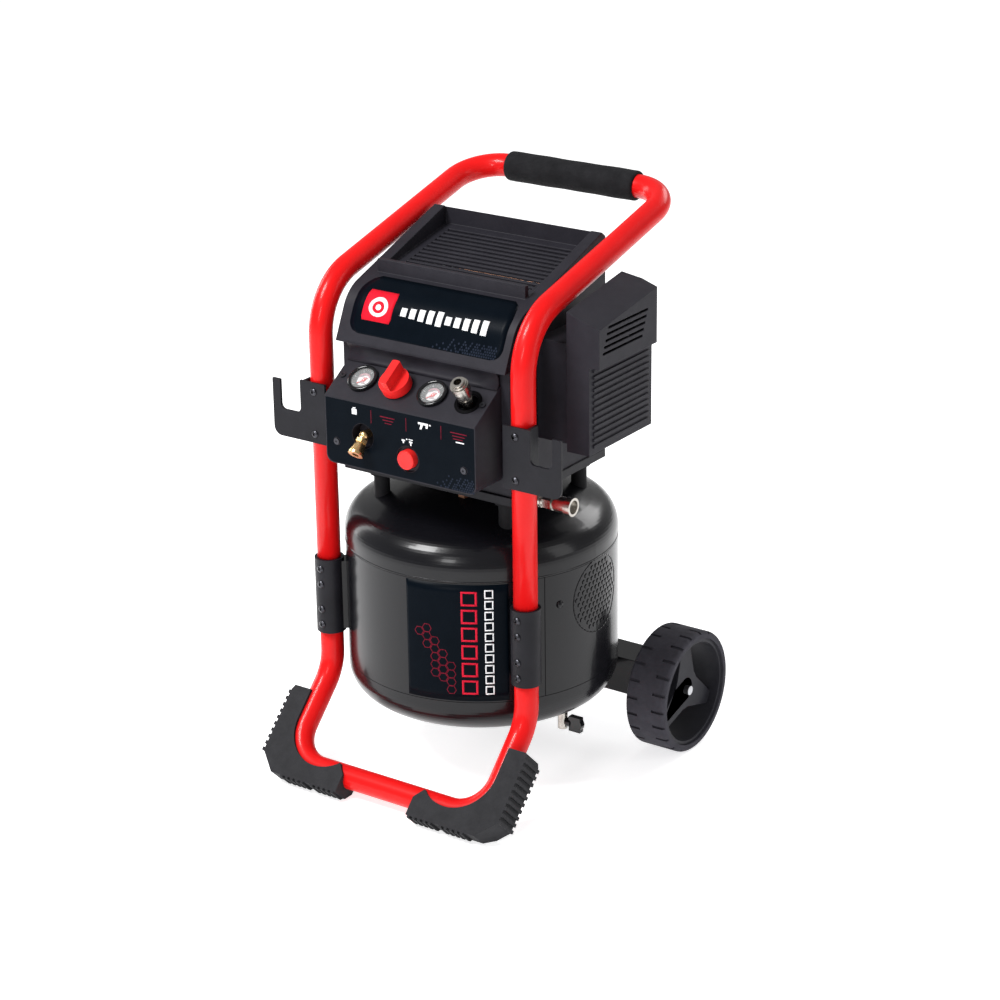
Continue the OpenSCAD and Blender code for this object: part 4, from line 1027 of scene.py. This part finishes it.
white_marks = [
    box_loop(-70.5, 491, -63, 498), box_loop(-69, 498.6, -64.5, 500),
    [(29, 497), (44, 497), (44, 499.6), (29, 499.6)],
    [(31, 491), (34, 491), (36.5, 497), (33, 497)],
    [(40, 493.5), (43, 493.5), (43.5, 497), (40.5, 497)],
    box_loop(45.5, 497.4, 47.5, 499.2),
    box_loop(4, 471, 9, 473), box_loop(5.5, 468.5, 7.5, 471), box_loop(10.5, 473.4, 12.5, 475),
    box_loop(15, 470.5, 20, 472.5), box_loop(16.5, 467, 18.5, 470.5), box_loop(14.2, 474, 20.6, 475),
    box_loop(84, 484.2, 96, 485.6),
]
red_marks = [
    box_loop(-41.9, 484, -41.1, 501), box_loop(10.5, 484, 11.3, 501), box_loop(62.1, 484, 62.9, 501),
    box_loop(-28, 495.4, -6, 496.6), box_loop(-24, 491.6, -8, 492.6), box_loop(-21, 488, -11, 489),
    box_loop(76, 495.4, 100, 496.6), box_loop(79, 491.6, 97, 492.6), box_loop(80, 488, 94, 489),
]
print_shapes("panel_white_marks", white_marks, on_panel, print_white, top=0.12 * mm)
print_shapes("panel_red_marks", red_marks, on_panel, print_wine, top=0.12 * mm)


def on_panel_metres(x, z, lift):
    return Vector((x, panel_y - 0.2 * mm - lift, z))


dots = honeycomb(44 * mm, 425 * mm, 109 * mm, 440 * mm, 3.4 * mm, 1.35 * mm, fade_left)
screw_z = 451 * mm
dots = [loop for loop in dots if math.hypot(loop[0][0] - screw_x, loop[0][1] - screw_z) > 9 * mm]
print_shapes("panel_dots", dots, on_panel_metres, sign_dot, top=0.1 * mm)
print("panel marks", len(white_marks) + len(red_marks), "dots", len(dots))

# %% [markdown]
# ## Dials
# Each gauge has a black outer ring with white ticks, and a pale middle with a faint red sector. A
# pressure gauge sweeps 270 degrees. The ledge leans back, so the drawing is placed in the ledge's own
# frame, whose normal is the turning axis of the regulator in the record.

# %% Dials
joints = {joint["name"]: joint for joint in frame["joints"]}
ledge_normal = Vector(joints["regulator_turn"]["axis"]).normalized()
ledge_at = Vector(joints["regulator_turn"]["pos_m"]) - ledge_normal * 5 * mm
dial_height = 0.6 * mm


def on_ledge(x):
    plane = stand((x, ledge_at.y, ledge_at.z), ledge_normal)

    def place(u, v, lift):
        return plane @ Vector((u, v, dial_height + lift))

    return place


def tick(angle, inner, outer, width):
    c = math.cos(math.radians(angle))
    s = math.sin(math.radians(angle))
    half = width / 2
    corners = ((inner, -half), (outer, -half), (outer, half), (inner, half))
    return [(r * c - w * s, r * s + w * c) for r, w in corners]


track_r = 15.3 * mm
face_r = 9.6 * mm


def dial(name, x):
    place = on_ledge(x)
    track = outline(polygon(0, 0, track_r, 64), 0, 0, face_r / track_r)
    print_shapes(name + "_track", track, place, dial_black, top=0.06 * mm, under=-0.05 * mm)
    ticks = []
    for k in range(21):
        long = k % 4 == 0
        inner = (11.6 if long else 13.4) * mm
        ticks.append(tick(225 - 270 * k / 20, inner, 14.6 * mm, (0.5 if long else 0.2) * mm))
    print_shapes(name + "_ticks", ticks, place, print_white, top=0.1 * mm, under=0.0)
    sector = []
    for k in range(14):
        sector.append(tick(150 - 9 * k, 7.2 * mm, 9.6 * mm, 1.25 * mm))
    sector.append(box_loop(-4.5 * mm, -5.4 * mm, 4.5 * mm, -4.2 * mm))
    sector.append(box_loop(-3 * mm, 2.8 * mm, 3 * mm, 3.6 * mm))
    print_shapes(name + "_sector", sector, place, dial_pink, top=0.08 * mm, under=0.0)


needle_left_x = joints["needle_left_swing"]["pos_m"][0]
needle_right_x = joints["needle_right_swing"]["pos_m"][0]
dial("dial_left", needle_left_x)
dial("dial_right", needle_right_x)
print("dials at", round(needle_left_x / mm, 1), round(needle_right_x / mm, 1))

# %% [markdown]
# ## Rings round the fittings
# The gauges have a thick glossy rim with a rounded face, and round the coupler a flat ring of painted shade stands
# for the shadow in its recess.
# Both are turned shapes that stand on the ledge. The rim's round face is half a circle of points.

# %% Rings
def ledge_ring(name, x, profile, finish):
    plane = stand((x, ledge_at.y, ledge_at.z), ledge_normal)
    return add_piece(name, lathe(name, profile, plane, 72), finish)


rim_profile = []
for k in range(13):
    a = math.radians(180 - 15 * k)
    rim_profile.append(((17.6 + 1.9 * math.cos(a)) * mm, (2.9 + 1.9 * math.sin(a)) * mm))
rim_profile += [(19.5 * mm, 0.3 * mm), (15.7 * mm, 0.3 * mm), rim_profile[0]]
for name, x in (("rim_of_left_gauge", needle_left_x), ("rim_of_right_gauge", needle_right_x)):
    ledge_ring(name, x, rim_profile, finishes["gloss_black_plastic"])
sleeve_low, sleeve_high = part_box("coupler_sleeve")
coupler_x = (sleeve_low.x + sleeve_high.x) / 2
well_shade_profile = [(12.6 * mm, 0.1 * mm), (17.5 * mm, 0.1 * mm), (17.5 * mm, 0.9 * mm), (16.6 * mm, 1.5 * mm)]
well_shade_profile += [(13.4 * mm, 1.5 * mm), (12.6 * mm, 0.9 * mm), (12.6 * mm, 0.1 * mm)]
# Painted shade: a flat near-black ring round the coupler where its recess lies in shadow.
ledge_ring("coupler_well_shade", coupler_x, well_shade_profile, shadow_black)
print("rings made")

# %% [markdown]
# ## The floor
# A wide pale floor keeps the picture plain. It glows a little by itself, so that it stays white under
# lights that are dim enough for black paint to look black.

# %% Floor
floor_mesh = bpy.data.meshes.new("floor")
build = bmesh.new()
bmesh.ops.create_grid(build, x_segments=4, y_segments=4, size=12)
build.to_mesh(floor_mesh)
build.free()
floor = bpy.data.objects.new("floor", floor_mesh)
bpy.context.scene.collection.objects.link(floor)
pale = Finish("pale_floor")
floor_mesh.materials.append(pale.surface({
    "Base Color": pale.shade(pale.noise(1.5), (0.86, 0.86, 0.87), (0.90, 0.90, 0.90)),
    "Roughness": 0.5 + 0.1 * pale.noise(0.3),
    "Emission Color": pale.shade(pale.noise(1.5), (0.96, 0.96, 0.97), (1.0, 1.0, 1.0)),
    "Emission Strength": 0.68,
}))
print("floor", floor.name)

# %% [markdown]
# ## The lights
# Glossy black shows nothing but what it reflects, so the lights are large soft panels: one above in
# front, one in front, one to each side and one behind. The surroundings are an even dim white.

# %% Lights
world = bpy.data.worlds.new("white_room")
bpy.context.scene.world = world
world.use_nodes = True
world.node_tree.nodes["Background"].inputs["Color"].default_value = (1.0, 1.0, 1.0, 1.0)
world.node_tree.nodes["Background"].inputs["Strength"].default_value = 0.38


def soft_panel(name, position, aim, width, height, power):
    light = bpy.data.lights.new(name, "AREA")
    light.shape = "RECTANGLE"
    light.size = width
    light.size_y = height
    light.energy = power
    lamp = bpy.data.objects.new(name, light)
    bpy.context.scene.collection.objects.link(lamp)
    lamp.location = position
    lamp.rotation_euler = (Vector(aim) - Vector(position)).to_track_quat("-Z", "Y").to_euler()
    return lamp


soft_panel("panel_above", (-0.9, -1.6, 2.6), (0, 0, 0.4), 0.9, 0.9, 88)
soft_panel("panel_front", (0.35, -2.6, 1.5), (0, 0, 0.35), 0.5, 0.9, 16)
soft_panel("panel_left", (-2.2, 0.2, 0.9), (0, 0, 0.35), 0.8, 1.6, 22)
soft_panel("panel_right", (2.3, 0.6, 1.2), (0, 0, 0.35), 0.8, 1.6, 8)
soft_panel("panel_back", (0.4, 2.4, 1.8), (0, 0, 0.5), 1.6, 0.8, 24)
print("lights", 5)

# %% [markdown]
# ## The camera
# The camera looks down a little from the front right with a long lens, so that parallel edges stay
# almost parallel. Its three axes are worked out from two angles and a small roll.

# %% Camera
azimuth = math.radians(35.1)
elevation = math.radians(21.2)
roll = math.radians(-0.8)
distance = 3.4782
target = Vector((0.0446, -0.01396, 0.356))
back = Vector((
    math.sin(azimuth) * math.cos(elevation),
    -math.cos(azimuth) * math.cos(elevation),
    math.sin(elevation),
))
right = Vector((math.cos(azimuth), math.sin(azimuth), 0))
up = back.cross(right)
right_rolled = right * math.cos(roll) + up * math.sin(roll)
up_rolled = back.cross(right_rolled)
lens = bpy.data.cameras.new("camera")
lens.sensor_width = 36
lens.lens = 100.6
lens.clip_start = 0.05
lens.clip_end = 100
camera = bpy.data.objects.new("camera", lens)
bpy.context.scene.collection.objects.link(camera)
camera.matrix_world = Matrix.Translation(target + back * distance) @ Matrix((
    (right_rolled.x, up_rolled.x, back.x),
    (right_rolled.y, up_rolled.y, back.y),
    (right_rolled.z, up_rolled.z, back.z),
)).to_4x4()
bpy.context.scene.camera = camera
bpy.context.scene.view_settings.view_transform = "Standard"
print("camera distance", distance)
